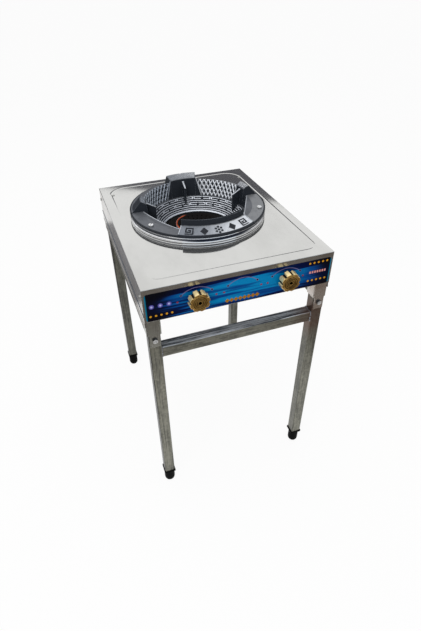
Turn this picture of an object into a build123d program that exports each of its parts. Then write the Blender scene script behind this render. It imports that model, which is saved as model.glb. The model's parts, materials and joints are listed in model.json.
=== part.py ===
from build123d import *
from math import sqrt
import os

# Millimetres. +Z is up, the floor is z = 0, the knobs face -Y and +X is to the right of the cook.

# Body
plate_width = 400.0
plate_depth = 500.0
sheet = 1.2
side_skirt = 88.0
return_flange = 32.0
bead_side_inset = 20.0
bead_front_inset = 22.0
bead_rear_inset = 16.0
bead_width = 4.5
bead_height = 1.2
bead_front_radius = 25.0
bead_rear_radius = 45.0

# Leg frame
frame_height = 580.0
tube_size = 25.0
tube_wall = 1.5
tube_corner = 2.0
socket_wall = 2.0
socket_clearance = 0.5
socket_rail_overlap = 21.0
leg_insertion = 70.0
tongue_width = 22.0
tongue_drop = 30.0
leg_bolt_drop = 13.5
rail_gap = 2.0
crossbar_gap = 41.0
crossbar_setback = 2.0

# Feet
foot_height = 47.0
foot_radius = 13.2
foot_flat_radius = 5.0
foot_flange = 4.0
foot_flange_overhang = 2.0
foot_plug = 18.0
plug_clearance = 0.1

# Printed fascia on the front panel
fascia_height = 62.0
fascia_thickness = 0.8
fascia_corner = 6.0
fascia_top_margin = 11.5
fascia_bottom_margin = 1.5
fascia_side_margin = 4.0

# Cast wok ring, heights measured up from the plate top
ring_offset_y = 27.0
ring_radius = 158.0
flange_width = 27.0
flange_underside = 12.0
flange_top = 16.0
wall_top = 27.0
wall_top_width = 3.0
wall_lean = 10.5
ledge_height = -10.0
ledge_width = 4.5
hole_radius = 84.0
hole_height = -40.0
ring_bottom = -46.0
ring_wall = 6.5
lug_overhang = 1.5
lug_lean = 3.5
lug_step = 1.5
lug_toe = 4.0
lug_inner_height = 33.0
lug_outer_height = 40.5
back_lug_overhang = 9.0
back_lug_rise = 1.5
back_lug_half_angle = 15.5
side_lug_half_angle = 7.5
front_lug_half_angle = 33.5
front_gap_angle = 60.0
front_lug_setback = 2.0
front_lug_lean = 2.0
front_lug_inner_height = 35.5
front_lug_outer_height = 40.0
shelf_reach = 2.0
shelf_thickness = 7.0
shelf_slope = 0.28
rib_width = 4.0
rib_reach = 16.0
rib_top = 29.0
rib_tip = 18.0
rib_root = 2.0

# Trim ring between the plate and the wok ring
trim_lap = 4.0
trim_sheet = 1.2
plate_hole_clearance = 3.0

# Burner under the bowl
bar_width = 30.0
bar_thickness = 3.0
bar_end_clearance = 1.0
burner_gap = 3.0
burner_recess = 2.0
burner_wall = 6.0
burner_floor = 4.0
divider_radius = 34.0
divider_wall = 5.0
divider_port_radius = 4.0
divider_ports = 4
flame_ring_radius = 53.0
flame_ring_height = 13.0
flame_ring_rim = 3.0
flame_ring_foot = 3.0
flame_ring_seat = 5.0
flame_port_radius = 1.5
outer_flame_ports = 24
inner_cap_height = 5.0
inner_cap_bevel = 2.0
inner_flame_ports = 10
spigot_depth = 3.0
spigot_clearance = 0.15

# Mixing tubes and air shutters
mixing_spacing = 76.0
mixing_radius = 16.0
mixing_wall = 3.0
mixing_length = 72.0
inlet_stub_wall = 4.0
inlet_stub_gap = 3.0
inlet_stub_length = 12.0
shutter_length = 20.0
shutter_wall = 2.0
shutter_clearance = 0.08
shutter_end_gap = 0.3
collar_width = 2.0
air_window_angle = 70.0
air_window_margin = 3.0
shutter_tab_length = 9.0
shutter_tab_width = 10.0
shutter_tab_thickness = 2.0

# Gas train
knob_spacing = 190.0
knob_drop = 39.0
valve_radius = 12.0
valve_length = 38.0
valve_neck_radius = 7.0
valve_bore_depth = 28.0
valve_outlet_radius = 8.0
valve_outlet_length = 10.0
valve_inlet_radius = 7.0
valve_inlet_gap = 2.0
valve_nut_flats = 19.0
valve_nut_thickness = 5.0
gas_passage_radius = 2.0
manifold_radius = 8.5
manifold_wall = 2.0
manifold_overhang = 20.0
end_plug_depth = 8.0
end_plug_head = 5.0
elbow_arm = 22.0
elbow_wall = 3.0
elbow_seat = 10.0
supply_side_gap = 4.0
feed_radius = 4.0
feed_wall = 1.0
feed_socket_depth = 8.0
joint_clearance = 0.05
injector_flats = 14.0
injector_length = 16.0
injector_nose_radius = 4.5
injector_nose_length = 9.0
injector_orifice_radius = 0.6
injector_hole_clearance = 1.0
inlet_neck_radius = 11.0
inlet_thread_radius = 10.4
inlet_thread_length = 16.0
inlet_bore_radius = 6.0
inlet_hex_flats = 27.0
inlet_hex_thickness = 9.0
locknut_thickness = 6.0
supply_seat_depth = 6.0
panel_hole_clearance = 0.5

# Knobs and stems
knob_radius = 20.0
knob_thickness = 15.5
knob_gap = 6.5
knob_lobes = 8
knob_notch_radius = 4.2
knob_notch_offset = 1.6
knob_face_bevel = 1.6
knob_recess_clearance = 2.0
stem_radius = 4.0
stem_flat = 1.2
stem_seat_depth = 7.5
stem_clearance = 0.05
stem_end_gap = 3.0
knob_screw_radius = 1.6
knob_screw_head_radius = 4.0
knob_screw_head_height = 2.4
knob_screw_length = 7.0
knob_screw_pocket_depth = 3.0
knob_screw_pocket_clearance = 0.4

# Fasteners
bolt_radius = 3.0
bolt_head_flats = 10.0
bolt_head_height = 4.0
bolt_nut_height = 5.0
bolt_hole_clearance = 0.3
thread_clearance = 0.05
bolt_end = 2.0
ring_screw_front_bearing = 62.5
ring_screw_head_radius = 4.6
ring_screw_head_height = 2.8
ring_screw_seat_radius = 5.6
panel_screw_radius = 2.0
panel_screw_head_radius = 3.8
panel_screw_head_height = 2.2
panel_screw_drop = 24.0
panel_screw_length = 8.0
rivet_radius = 1.6
rivet_head_radius = 2.8
rivet_head_height = 1.0
rivet_bead_gap = 0.7
rivet_rear_inset = 61.0

# Heights and places that follow from the sizes above
top_z = foot_height + frame_height
under_plate_z = top_z - sheet
front_skirt = fascia_top_margin + fascia_height + fascia_bottom_margin
knob_reach = fascia_thickness + knob_gap + knob_thickness
inlet_reach = locknut_thickness + inlet_thread_length
plate_center_y = (knob_reach - inlet_reach) / 2
front_y = plate_center_y - plate_depth / 2
rear_y = plate_center_y + plate_depth / 2
ring_y = plate_center_y + ring_offset_y
fascia_y = front_y - fascia_thickness

socket_size = tube_size + 2 * (socket_wall + socket_clearance)
socket_x = plate_width / 2 - sheet - socket_size / 2
socket_front_y = front_y + sheet + socket_size / 2
socket_rear_y = rear_y - sheet - socket_size / 2
socket_top_z = under_plate_z - sheet
rail_top_z = top_z - side_skirt - rail_gap
socket_bottom_z = rail_top_z - socket_rail_overlap
leg_bolt_z = socket_bottom_z - leg_bolt_drop
tube_inside = tube_size - 2 * tube_wall

rail_x = plate_width / 2 - sheet - tube_size / 2
bar_top_z = rail_top_z + bar_thickness
burner_radius = hole_radius - burner_gap
flame_opening_radius = flame_ring_radius - flame_ring_seat
burner_top_z = top_z + hole_height - burner_recess
mixing_z = top_z + ring_bottom - inlet_stub_gap - inlet_stub_wall - mixing_radius
mixing_x = mixing_spacing / 2
mixing_rear_y = ring_y - sqrt(burner_radius**2 - mixing_x**2)
mixing_mouth_y = mixing_rear_y - mixing_length

knob_x = knob_spacing / 2
knob_z = top_z - knob_drop
valve_front_y = front_y + sheet
valve_rear_y = valve_front_y + valve_length
valve_outlet_y = valve_rear_y + valve_outlet_length
valve_nut_y = fascia_y - valve_nut_thickness
manifold_y = valve_front_y + valve_length / 2
manifold_z = knob_z - valve_radius - valve_inlet_gap - manifold_radius
manifold_left_x = -knob_x - manifold_overhang
supply_x = socket_x - socket_size / 2 - supply_side_gap - inlet_hex_flats / 2
manifold_right_x = supply_x - elbow_arm + elbow_seat
supply_front_y = manifold_y + elbow_arm - elbow_seat
injector_back_y = mixing_mouth_y - injector_length
knob_back_y = fascia_y - knob_gap
knob_face_y = knob_back_y - knob_thickness
knob_seat_y = valve_nut_y - knob_recess_clearance
stem_front_y = knob_seat_y - stem_seat_depth
stem_rear_y = valve_front_y + valve_bore_depth - stem_end_gap

wall_outer_radius = ring_radius - flange_width
wall_top_radius = wall_outer_radius - wall_top_width
ledge_radius = wall_top_radius - wall_lean
bowl_radius = ledge_radius - ledge_width
lug_foot_radius = ledge_radius - lug_step
ring_screw_circle = ring_radius - flange_width / 2
plate_hole_radius = wall_outer_radius + plate_hole_clearance
trim_inner_radius = plate_hole_radius + trim_lap
rivet_x = plate_width / 2 - bead_side_inset - bead_width - rivet_bead_gap - rivet_head_radius

corners = {
    "front_left": (-socket_x, socket_front_y, -1),
    "front_right": (socket_x, socket_front_y, -1),
    "rear_left": (-socket_x, socket_rear_y, 1),
    "rear_right": (socket_x, socket_rear_y, 1),
}
sides = {"left": -1, "right": 1}


def block(x_from, x_to, y_from, y_to, z_from, z_to):
    center = Pos((x_from + x_to) / 2, (y_from + y_to) / 2, (z_from + z_to) / 2)
    return center * Box(abs(x_to - x_from), abs(y_to - y_from), abs(z_to - z_from))


def prism(start, end, section):
    run = Vector(*end) - Vector(*start)
    return extrude(Plane(origin=start, z_dir=run) * section, amount=run.length)


def rod(start, end, radius):
    return prism(start, end, Circle(radius))


def rod_x(x_from, x_to, y, z, radius):
    return rod((x_from, y, z), (x_to, y, z), radius)


def rod_y(x, y_from, y_to, z, radius):
    return rod((x, y_from, z), (x, y_to, z), radius)


def rod_z(x, y, z_from, z_to, radius):
    return rod((x, y, z_from), (x, y, z_to), radius)


def hexagon(start, end, flats):
    return prism(start, end, RegularPolygon(flats / 2, 6, major_radius=False))


def hexagon_y(x, y_from, y_to, z, flats):
    return hexagon((x, y_from, z), (x, y_to, z), flats)


def hexagon_z(x, y, z_from, z_to, flats):
    return hexagon((x, y, z_from), (x, y, z_to), flats)


def square_tube(start, end, size, wall, corner):
    inside = size - 2 * wall
    section = RectangleRounded(size, size, corner) - RectangleRounded(inside, inside, corner - wall / 2)
    return prism(start, end, section)


def group(solids):
    return Compound(children=solids)


# Bearings around the ring are counted from the front, towards +X
def turned_to(bearing, solid):
    return Rot(0, 0, bearing - 90) * solid


def turned(profile, bearing_from=0.0, bearing_to=360.0):
    face = Plane.XZ * make_face(Polyline(*profile, close=True))
    return turned_to(bearing_from, revolve(face, Axis.Z, bearing_to - bearing_from))


def on_plate(solid):
    return Pos(0, ring_y, top_z) * solid


ring_screw_bearings = (-ring_screw_front_bearing, ring_screw_front_bearing, 180)


def ring_screw_spots():
    return [turned_to(bearing, Pos(ring_screw_circle, 0, 0)) for bearing in ring_screw_bearings]


def bead():
    outline = Rectangle(plate_width - 2 * bead_side_inset, plate_depth - bead_front_inset - bead_rear_inset)
    by_y = outline.vertices().sort_by(Axis.Y)
    outline = fillet(by_y[:2], bead_front_radius)
    rear = outline.vertices().group_by(Axis.Y)[-1]
    outline = fillet(rear, bead_rear_radius)
    inner = offset(outline, -bead_width)
    ridge = extrude(outline, bead_height, taper=45) - extrude(inner, bead_height, taper=-45)
    return Pos(0, plate_center_y + (bead_front_inset - bead_rear_inset) / 2, top_z) * ridge


def rivet_spots():
    return [Pos(side * rivet_x, rear_y - rivet_rear_inset, top_z) for side in sides.values()]


def top_plate():
    half = plate_width / 2
    plate = block(-half, half, front_y, rear_y, under_plate_z, top_z) + bead()
    plate -= on_plate(rod_z(0, 0, -2 * sheet, sheet, plate_hole_radius))
    screw_hole = rod_z(0, 0, -2 * sheet, sheet, bolt_radius + bolt_hole_clearance)
    for spot in ring_screw_spots():
        plate -= on_plate(spot * screw_hole)
    rivet_hole = rod_z(0, 0, -2 * sheet, sheet, rivet_radius)
    for spot in rivet_spots():
        plate -= spot * rivet_hole
    return plate


# A flange turned in under the plate stiffens each panel
def end_panel(outer_y, inward, skirt):
    half = plate_width / 2
    wall = block(-half, half, outer_y, outer_y + inward * sheet, top_z - skirt, under_plate_z)
    flange = block(-half + sheet, half - sheet, outer_y, outer_y + inward * return_flange,
                   under_plate_z - sheet, under_plate_z)
    return wall + flange


def front_panel():
    panel = end_panel(front_y, 1, front_skirt)
    for side in sides.values():
        x = side * knob_x
        hole = valve_neck_radius + panel_hole_clearance
        panel -= rod_y(x, front_y - sheet, front_y + 2 * sheet, knob_z, hole)
    return panel


def rear_panel():
    panel = end_panel(rear_y, -1, side_skirt)
    hole = inlet_neck_radius + panel_hole_clearance
    x = supply_x
    return panel - rod_y(x, rear_y - 2 * sheet, rear_y + sheet, manifold_z, hole)


def panel_screw_spots(side):
    return [(side * plate_width / 2, y, top_z - panel_screw_drop) for y in (socket_front_y, socket_rear_y)]


def side_panel(side):
    outer = side * plate_width / 2
    wall = block(outer, outer - side * sheet, front_y + sheet, rear_y - sheet,
                 top_z - side_skirt, under_plate_z)
    flange = block(outer, outer - side * return_flange, front_y + return_flange, rear_y - return_flange,
                   under_plate_z - sheet, under_plate_z)
    panel = wall + flange
    for x, y, z in panel_screw_spots(side):
        hole = panel_screw_radius + bolt_hole_clearance
        panel -= rod_x(x + side * sheet, x - side * 2 * sheet, y, z, hole)
    for spot in rivet_spots():
        panel -= spot * rod_z(0, 0, -3 * sheet, 0, rivet_radius)
    return panel


def panel_screws():
    solids = []
    for side in sides.values():
        for x, y, z in panel_screw_spots(side):
            head = rod_x(x, x + side * panel_screw_head_height, y, z, panel_screw_head_radius)
            shank = rod_x(x, x - side * panel_screw_length, y, z, panel_screw_radius)
            solids.append(head + shank)
    return group(solids)


def top_rivets():
    reach = 2 * sheet
    solids = []
    for spot in rivet_spots():
        head = rod_z(0, 0, 0, rivet_head_height, rivet_head_radius)
        shank = rod_z(0, 0, -reach, 0, rivet_radius)
        tail = rod_z(0, 0, -reach - rivet_head_height, -reach, rivet_head_radius)
        solids.append(spot * (head + shank + tail))
    return group(solids)


def control_fascia():
    middle_z = top_z - fascia_top_margin - fascia_height / 2
    front_plane = Plane(origin=(0, front_y, middle_z), x_dir=(1, 0, 0), z_dir=(0, -1, 0))
    section = RectangleRounded(plate_width - 2 * fascia_side_margin, fascia_height, fascia_corner)
    fascia = extrude(front_plane * section, amount=fascia_thickness)
    for side in sides.values():
        x = side * knob_x
        hole = valve_neck_radius + panel_hole_clearance
        fascia -= rod_y(x, front_y + sheet, fascia_y - sheet, knob_z, hole)
    return fascia


def leg_socket(x, y, outward):
    corner = tube_corner + socket_wall / 2
    socket = square_tube((x, y, socket_bottom_z), (x, y, socket_top_z), socket_size, socket_wall, corner)
    face_y = y + outward * socket_size / 2
    tongue = block(x - tongue_width / 2, x + tongue_width / 2, face_y, face_y - outward * socket_wall,
                   socket_bottom_z - tongue_drop, socket_bottom_z + tongue_drop)
    socket += tongue
    hole = bolt_radius + bolt_hole_clearance
    socket -= rod_y(x, face_y, face_y - outward * 2 * socket_wall, leg_bolt_z, hole)
    side = 1 if x > 0 else -1
    screw_x = x + side * socket_size / 2
    screw_z = top_z - panel_screw_drop
    screw_hole = panel_screw_radius + thread_clearance
    return socket - rod_x(screw_x, screw_x - side * 2 * socket_wall, y, screw_z, screw_hole)


# The bolt draws each leg against the outer wall of its socket
def leg_y(y, outward):
    return y + outward * socket_clearance


def leg(x, y, outward):
    leg_top_z = socket_bottom_z + leg_insertion
    tube = square_tube((x, y, foot_height), (x, y, leg_top_z), tube_size, tube_wall, tube_corner)
    hole = bolt_radius + bolt_hole_clearance
    return tube - rod_y(x, y, y + outward * tube_size, leg_bolt_z, hole)


def leg_bolts():
    solids = []
    for x, y, outward in corners.values():
        face_y = y + outward * socket_size / 2
        tip_y = leg_y(y, outward) + outward * (tube_inside / 2 - bolt_nut_height - bolt_end)
        head = hexagon_y(x, face_y, face_y + outward * bolt_head_height, leg_bolt_z, bolt_head_flats)
        solids.append(head + rod_y(x, face_y, tip_y, leg_bolt_z, bolt_radius))
    return group(solids)


def leg_nuts():
    solids = []
    for x, y, outward in corners.values():
        seat_y = leg_y(y, outward) + outward * tube_inside / 2
        end_y = seat_y - outward * bolt_nut_height
        nut = hexagon_y(x, seat_y, end_y, leg_bolt_z, bolt_head_flats)
        nut -= rod_y(x, seat_y, end_y, leg_bolt_z, bolt_radius + thread_clearance)
        solids.append(nut)
    return group(solids)


def foot(x, y):
    flange_z = foot_height - foot_flange
    dome_z = sqrt(foot_radius**2 - foot_flat_radius**2)
    side_point = (foot_radius * sqrt(0.5), dome_z - foot_radius * sqrt(0.5))
    outline = [
        Line((0, 0), (foot_flat_radius, 0)),
        ThreePointArc((foot_flat_radius, 0), side_point, (foot_radius, dome_z)),
        Line((foot_radius, dome_z), (foot_radius, flange_z)),
        Line((foot_radius, flange_z), (0, flange_z)),
        Line((0, flange_z), (0, 0)),
    ]
    bullet = revolve(Plane.XZ * make_face(outline), Axis.Z, 360)
    flange_size = tube_size + 2 * foot_flange_overhang
    flange_section = RectangleRounded(flange_size, flange_size, tube_corner)
    flange = extrude(Pos(0, 0, flange_z) * flange_section, amount=foot_flange)
    plug_size = tube_inside - 2 * plug_clearance
    plug_section = RectangleRounded(plug_size, plug_size, tube_corner)
    plug = extrude(Pos(0, 0, foot_height) * plug_section, amount=foot_plug)
    return Pos(x, y, 0) * (bullet + flange + plug)


def side_rail(side):
    x = side * rail_x
    z = rail_top_z - tube_size / 2
    front = socket_front_y + socket_size / 2
    rear = socket_rear_y - socket_size / 2
    rail = square_tube((x, front, z), (x, rear, z), tube_size, tube_wall, tube_corner)
    hole = bolt_radius + thread_clearance
    return rail - rod_z(x, ring_y, rail_top_z, rail_top_z - 2 * tube_wall, hole)


def crossbar(y, inward):
    half = socket_x - tube_size / 2
    z = socket_bottom_z - crossbar_gap - tube_size / 2
    bar_y = leg_y(y, -inward) + inward * crossbar_setback
    return square_tube((-half, bar_y, z), (half, bar_y, z), tube_size, tube_wall, tube_corner)


ring_headroom = max(lug_outer_height + back_lug_rise, front_lug_outer_height) + flange_top


def ring_wall_profile():
    bowl_outer = ledge_radius + ring_wall
    return [
        (ring_radius, flange_underside),
        (ring_radius, flange_top),
        (wall_outer_radius, wall_top),
        (wall_top_radius, wall_top),
        (ledge_radius, ledge_height),
        (bowl_radius, ledge_height),
        (hole_radius, hole_height),
        (hole_radius, ring_bottom),
        (hole_radius + ring_wall, ring_bottom),
        (bowl_outer, ledge_height - ring_wall),
        (bowl_outer, ledge_height),
        (wall_outer_radius, flange_underside),
    ]


# Between the front lug and each side lug the wall is cut down to a shelf that falls towards the bowl
def with_front_gap(ring, side):
    center = side * (front_lug_half_angle + front_gap_angle / 2)
    low = center - front_gap_angle / 2
    high = center + front_gap_angle / 2
    outside = ring_radius + flange_width
    ring -= turned([(outside, flange_top), (hole_radius, flange_top),
                    (hole_radius, ring_headroom), (outside, ring_headroom)], low, high)
    disc = rod_z(0, 0, flange_top - shelf_thickness, flange_top, wall_top_radius)
    chord = bowl_radius - shelf_reach
    beyond_chord = block(chord, outside, -outside, outside, 0, ring_headroom)
    ring += turned_to(center, disc & beyond_chord)
    fall = shelf_slope * (wall_top_radius - hole_radius)
    return ring - turned([(wall_top_radius, flange_top), (hole_radius, flange_top),
                          (hole_radius, flange_top - fall)], low, high)


# Each lug leans out over the wall and is backed by a slope that runs out to the rim
def lug(bearing, half_angle, overhang, rise):
    return turned([
        (lug_foot_radius + lug_lean, lug_inner_height + rise),
        (lug_foot_radius, ledge_height),
        (ledge_radius + ring_wall / 2, ledge_height),
        (wall_outer_radius, flange_underside),
        (ring_radius - lug_toe, flange_top),
        (wall_outer_radius + overhang, lug_outer_height + rise),
    ], bearing - half_angle, bearing + half_angle)


# A thin fin runs down from the inner face of the lug to the lower cone of the bowl
def lug_rib(bearing):
    inner = bowl_radius - rib_reach
    cone_slope = (ledge_height - hole_height) / (bowl_radius - hole_radius)
    cone_height = hole_height + cone_slope * (inner - hole_radius)
    outline = Polyline(
        (lug_foot_radius + lug_lean, rib_top),
        (inner, rib_tip),
        (inner, cone_height - rib_root),
        (bowl_radius + rib_root, ledge_height - rib_root),
        (lug_foot_radius + lug_lean, ledge_height),
        close=True,
    )
    return turned_to(bearing, extrude(Plane.XZ * make_face(outline), amount=rib_width / 2, both=True))


def front_lug():
    front_lug_radius = wall_outer_radius - front_lug_setback
    return turned([
        (lug_foot_radius + front_lug_lean, front_lug_inner_height),
        (lug_foot_radius, ledge_height),
        (ledge_radius + ring_wall / 2, ledge_height),
        (front_lug_radius, flange_underside),
        (front_lug_radius, front_lug_outer_height),
    ], -front_lug_half_angle, front_lug_half_angle)


def wok_ring():
    ring = turned(ring_wall_profile())
    for side in sides.values():
        ring = with_front_gap(ring, side)
    side_bearing = front_lug_half_angle + front_gap_angle + side_lug_half_angle
    for side in sides.values():
        ring += lug(side * side_bearing, side_lug_half_angle, lug_overhang, 0)
        ring += lug_rib(side * side_bearing)
    ring += lug(180, back_lug_half_angle, back_lug_overhang, back_lug_rise)
    ring += lug_rib(180)
    ring += front_lug()
    screw_hole = rod_z(0, 0, 0, wall_top, bolt_radius + bolt_hole_clearance)
    seat = rod_z(0, 0, flange_top, ring_headroom, ring_screw_seat_radius)
    for spot in ring_screw_spots():
        ring -= spot * (screw_hole + seat)
    return on_plate(ring)


def trim_ring():
    mid = flange_underside / 2
    bend_radius = ring_radius - mid
    thin = trim_sheet
    outline = [
        Line((trim_inner_radius, 0), (bend_radius, 0)),
        ThreePointArc((bend_radius, 0), (ring_radius, mid), (bend_radius, flange_underside)),
        Line((bend_radius, flange_underside), (trim_inner_radius, flange_underside)),
        Line((trim_inner_radius, flange_underside), (trim_inner_radius, flange_underside - thin)),
        Line((trim_inner_radius, flange_underside - thin), (bend_radius, flange_underside - thin)),
        ThreePointArc((bend_radius, flange_underside - thin), (ring_radius - thin, mid),
                      (bend_radius, thin)),
        Line((bend_radius, thin), (trim_inner_radius, thin)),
        Line((trim_inner_radius, thin), (trim_inner_radius, 0)),
    ]
    ring = revolve(Plane.XZ * make_face(outline), Axis.Z, 360)
    hole = rod_z(0, 0, -sheet, flange_top, bolt_radius + bolt_hole_clearance)
    for spot in ring_screw_spots():
        ring -= spot * hole
    return on_plate(ring)


def ring_screws():
    tip = -sheet - bolt_nut_height - bolt_end
    head = rod_z(0, 0, flange_top, flange_top + ring_screw_head_height, ring_screw_head_radius)
    rim = head.edges().group_by(Axis.Z)[-1]
    head = fillet(rim, ring_screw_head_height / 2)
    screw = head + rod_z(0, 0, tip, flange_top, bolt_radius)
    return group([on_plate(spot * screw) for spot in ring_screw_spots()])


def ring_nuts():
    nut = hexagon_z(0, 0, -sheet - bolt_nut_height, -sheet, bolt_head_flats)
    nut -= rod_z(0, 0, -sheet - bolt_nut_height, -sheet, bolt_radius + thread_clearance)
    return group([on_plate(spot * nut) for spot in ring_screw_spots()])


burner_screw_x = (divider_radius + burner_radius - burner_wall) / 2


def burner_body():
    floor_z = bar_top_z + burner_floor
    stub_front_y = mixing_rear_y - inlet_stub_length
    stub_room = block(-burner_radius, burner_radius, stub_front_y, ring_y, bar_top_z, burner_top_z)
    body = rod_z(0, ring_y, bar_top_z, burner_top_z, burner_radius)
    for side in sides.values():
        x = side * mixing_x
        stub = mixing_radius + inlet_stub_wall
        body += rod_y(x, stub_front_y, ring_y, mixing_z, stub) & stub_room
    body -= rod_z(0, ring_y, floor_z, burner_top_z - burner_wall, burner_radius - burner_wall)
    body -= rod_z(0, ring_y, floor_z, burner_top_z, flame_opening_radius)
    divider = rod_z(0, ring_y, bar_top_z, burner_top_z, divider_radius)
    divider -= rod_z(0, ring_y, floor_z, burner_top_z, divider_radius - divider_wall)
    body += divider
    port_z = (floor_z + burner_top_z) / 2
    for i in range(divider_ports):
        spoke = rod_x(0, divider_radius + divider_wall, 0, 0, divider_port_radius)
        body -= Pos(0, ring_y, port_z) * Rot(0, 0, (i + 0.5) * 360 / divider_ports) * spoke
    for side in sides.values():
        x = side * mixing_x
        body -= rod_y(x, stub_front_y, mixing_rear_y, mixing_z, mixing_radius + joint_clearance)
        inner_reach = ring_y - divider_radius - divider_wall
        body -= rod_y(x, mixing_rear_y, inner_reach, mixing_z, mixing_radius - mixing_wall)
        hole = bolt_radius + thread_clearance
        screw_x = side * burner_screw_x
        body -= rod_z(screw_x, ring_y, bar_top_z, floor_z, hole)
    return body


def outer_flame_ring():
    seat_outer = flame_opening_radius - spigot_clearance
    seat_inner = divider_radius + spigot_clearance
    ring = turned([
        (flame_ring_radius, 0), (flame_ring_radius, flame_ring_height),
        (flame_ring_radius - flame_ring_rim, flame_ring_height),
        (seat_inner, flame_ring_foot), (seat_inner, -spigot_depth),
        (seat_outer, -spigot_depth), (seat_outer, 0),
    ])
    port = rod_z(0, 0, -spigot_depth, flame_ring_height, flame_port_radius)
    rows = [seat_inner + (seat_outer - seat_inner) * share for share in (0.25, 0.75)]
    for row in rows:
        for i in range(outer_flame_ports):
            ring -= Rot(0, 0, i * 360 / outer_flame_ports) * Pos(row, 0, 0) * port
    return Pos(0, ring_y, burner_top_z) * ring


def inner_flame_cap():
    rim = divider_radius - spigot_clearance
    seat = divider_radius - divider_wall - spigot_clearance
    cap = turned([
        (0, -spigot_depth), (seat, -spigot_depth), (seat, 0), (rim, 0),
        (rim - inner_cap_bevel, inner_cap_height), (0, inner_cap_height),
    ])
    port = rod_z(0, 0, -spigot_depth, inner_cap_height, flame_port_radius)
    for i in range(inner_flame_ports):
        cap -= Rot(0, 0, i * 360 / inner_flame_ports) * Pos(seat / 2, 0, 0) * port
    return Pos(0, ring_y, burner_top_z) * cap


def bar_screw_spots():
    return [(side * x, ring_y) for side in (-1, 1) for x in (burner_screw_x, rail_x)]


def burner_bar():
    half = plate_width / 2 - sheet - bar_end_clearance
    bar = block(-half, half, ring_y - bar_width / 2, ring_y + bar_width / 2, rail_top_z, bar_top_z)
    for x, y in bar_screw_spots():
        bar -= rod_z(x, y, rail_top_z, bar_top_z, bolt_radius + bolt_hole_clearance)
    return bar


# Two screws come up into the burner, two go down into the side rails
def burner_bar_screws():
    solids = []
    for x, y in bar_screw_spots():
        into_burner = abs(x) < burner_radius
        way = 1 if into_burner else -1
        seat_z = rail_top_z if into_burner else bar_top_z
        grip = bar_thickness + (burner_floor if into_burner else tube_wall + bolt_end)
        head = hexagon_z(x, y, seat_z, seat_z - way * bolt_head_height, bolt_head_flats)
        solids.append(head + rod_z(x, y, seat_z, seat_z + way * grip, bolt_radius))
    return group(solids)


shutter_front_y = mixing_mouth_y + collar_width + shutter_end_gap
shutter_rear_y = shutter_front_y + shutter_length


# One window above and one below, through the sleeve and the tube wall
def air_windows(x):
    band = Rectangle(4 * mixing_wall, shutter_length - 2 * air_window_margin)
    wedge = revolve(Plane.XZ * Pos(mixing_radius, 0) * band, Axis.Z, air_window_angle)
    above = Rot(0, 0, 90 - air_window_angle / 2) * wedge
    below = Rot(0, 0, 270 - air_window_angle / 2) * wedge
    middle_y = (shutter_front_y + shutter_rear_y) / 2
    return Pos(x, middle_y, mixing_z) * Rot(90, 0, 0) * (above + below)


def mixing_tube(side):
    x = side * mixing_x
    tube = rod_y(x, mixing_mouth_y, mixing_rear_y, mixing_z, mixing_radius)
    collar = mixing_radius + shutter_clearance + shutter_wall
    collar_rear_y = shutter_rear_y + shutter_end_gap
    for start in (mixing_mouth_y, collar_rear_y):
        tube += rod_y(x, start, start + collar_width, mixing_z, collar)
    bore = mixing_radius - mixing_wall
    tube -= rod_y(x, mixing_mouth_y + mixing_wall, mixing_rear_y, mixing_z, bore)
    mouth = injector_nose_radius + injector_hole_clearance
    tube -= rod_y(x, mixing_mouth_y, mixing_rear_y, mixing_z, mouth)
    return tube - air_windows(x)


def air_shutter(side):
    x = side * mixing_x
    inner = mixing_radius + shutter_clearance
    outer = inner + shutter_wall
    sleeve = rod_y(x, shutter_front_y, shutter_rear_y, mixing_z, outer)
    tab_from = inner + shutter_wall / 2
    middle_y = (shutter_front_y + shutter_rear_y) / 2
    sleeve += block(x + side * tab_from, x + side * (outer + shutter_tab_length),
                    middle_y - shutter_tab_width / 2, middle_y + shutter_tab_width / 2,
                    mixing_z - shutter_tab_thickness / 2, mixing_z + shutter_tab_thickness / 2)
    sleeve -= rod_y(x, shutter_front_y, shutter_rear_y, mixing_z, inner)
    return sleeve - air_windows(x)


def injector(side):
    x = side * mixing_x
    body = hexagon_y(x, injector_back_y, mixing_mouth_y, mixing_z, injector_flats)
    nose_y = mixing_mouth_y + injector_nose_length
    body += rod_y(x, mixing_mouth_y, nose_y, mixing_z, injector_nose_radius)
    seat_end_y = injector_back_y + feed_socket_depth
    body -= rod_y(x, injector_back_y, seat_end_y, mixing_z, feed_radius + joint_clearance)
    return body - rod_y(x, injector_back_y, nose_y, mixing_z, injector_orifice_radius)


def feed_pipe(side):
    from_x = side * knob_x
    to_x = side * mixing_x
    start = (from_x, valve_outlet_y - feed_socket_depth, knob_z)
    bend_start = (from_x, valve_outlet_y, knob_z)
    bend_end = (to_x, injector_back_y, mixing_z)
    end = (to_x, injector_back_y + feed_socket_depth, mixing_z)
    sweep_line = Spline(bend_start, bend_end, tangents=[(0, 1, 0), (0, 1, 0)])
    route = Wire([Line(start, bend_start), sweep_line, Line(bend_end, end)])
    section = Plane(origin=start, z_dir=(0, 1, 0)) * (Circle(feed_radius) - Circle(feed_radius - feed_wall))
    return sweep(section, path=route)


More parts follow.
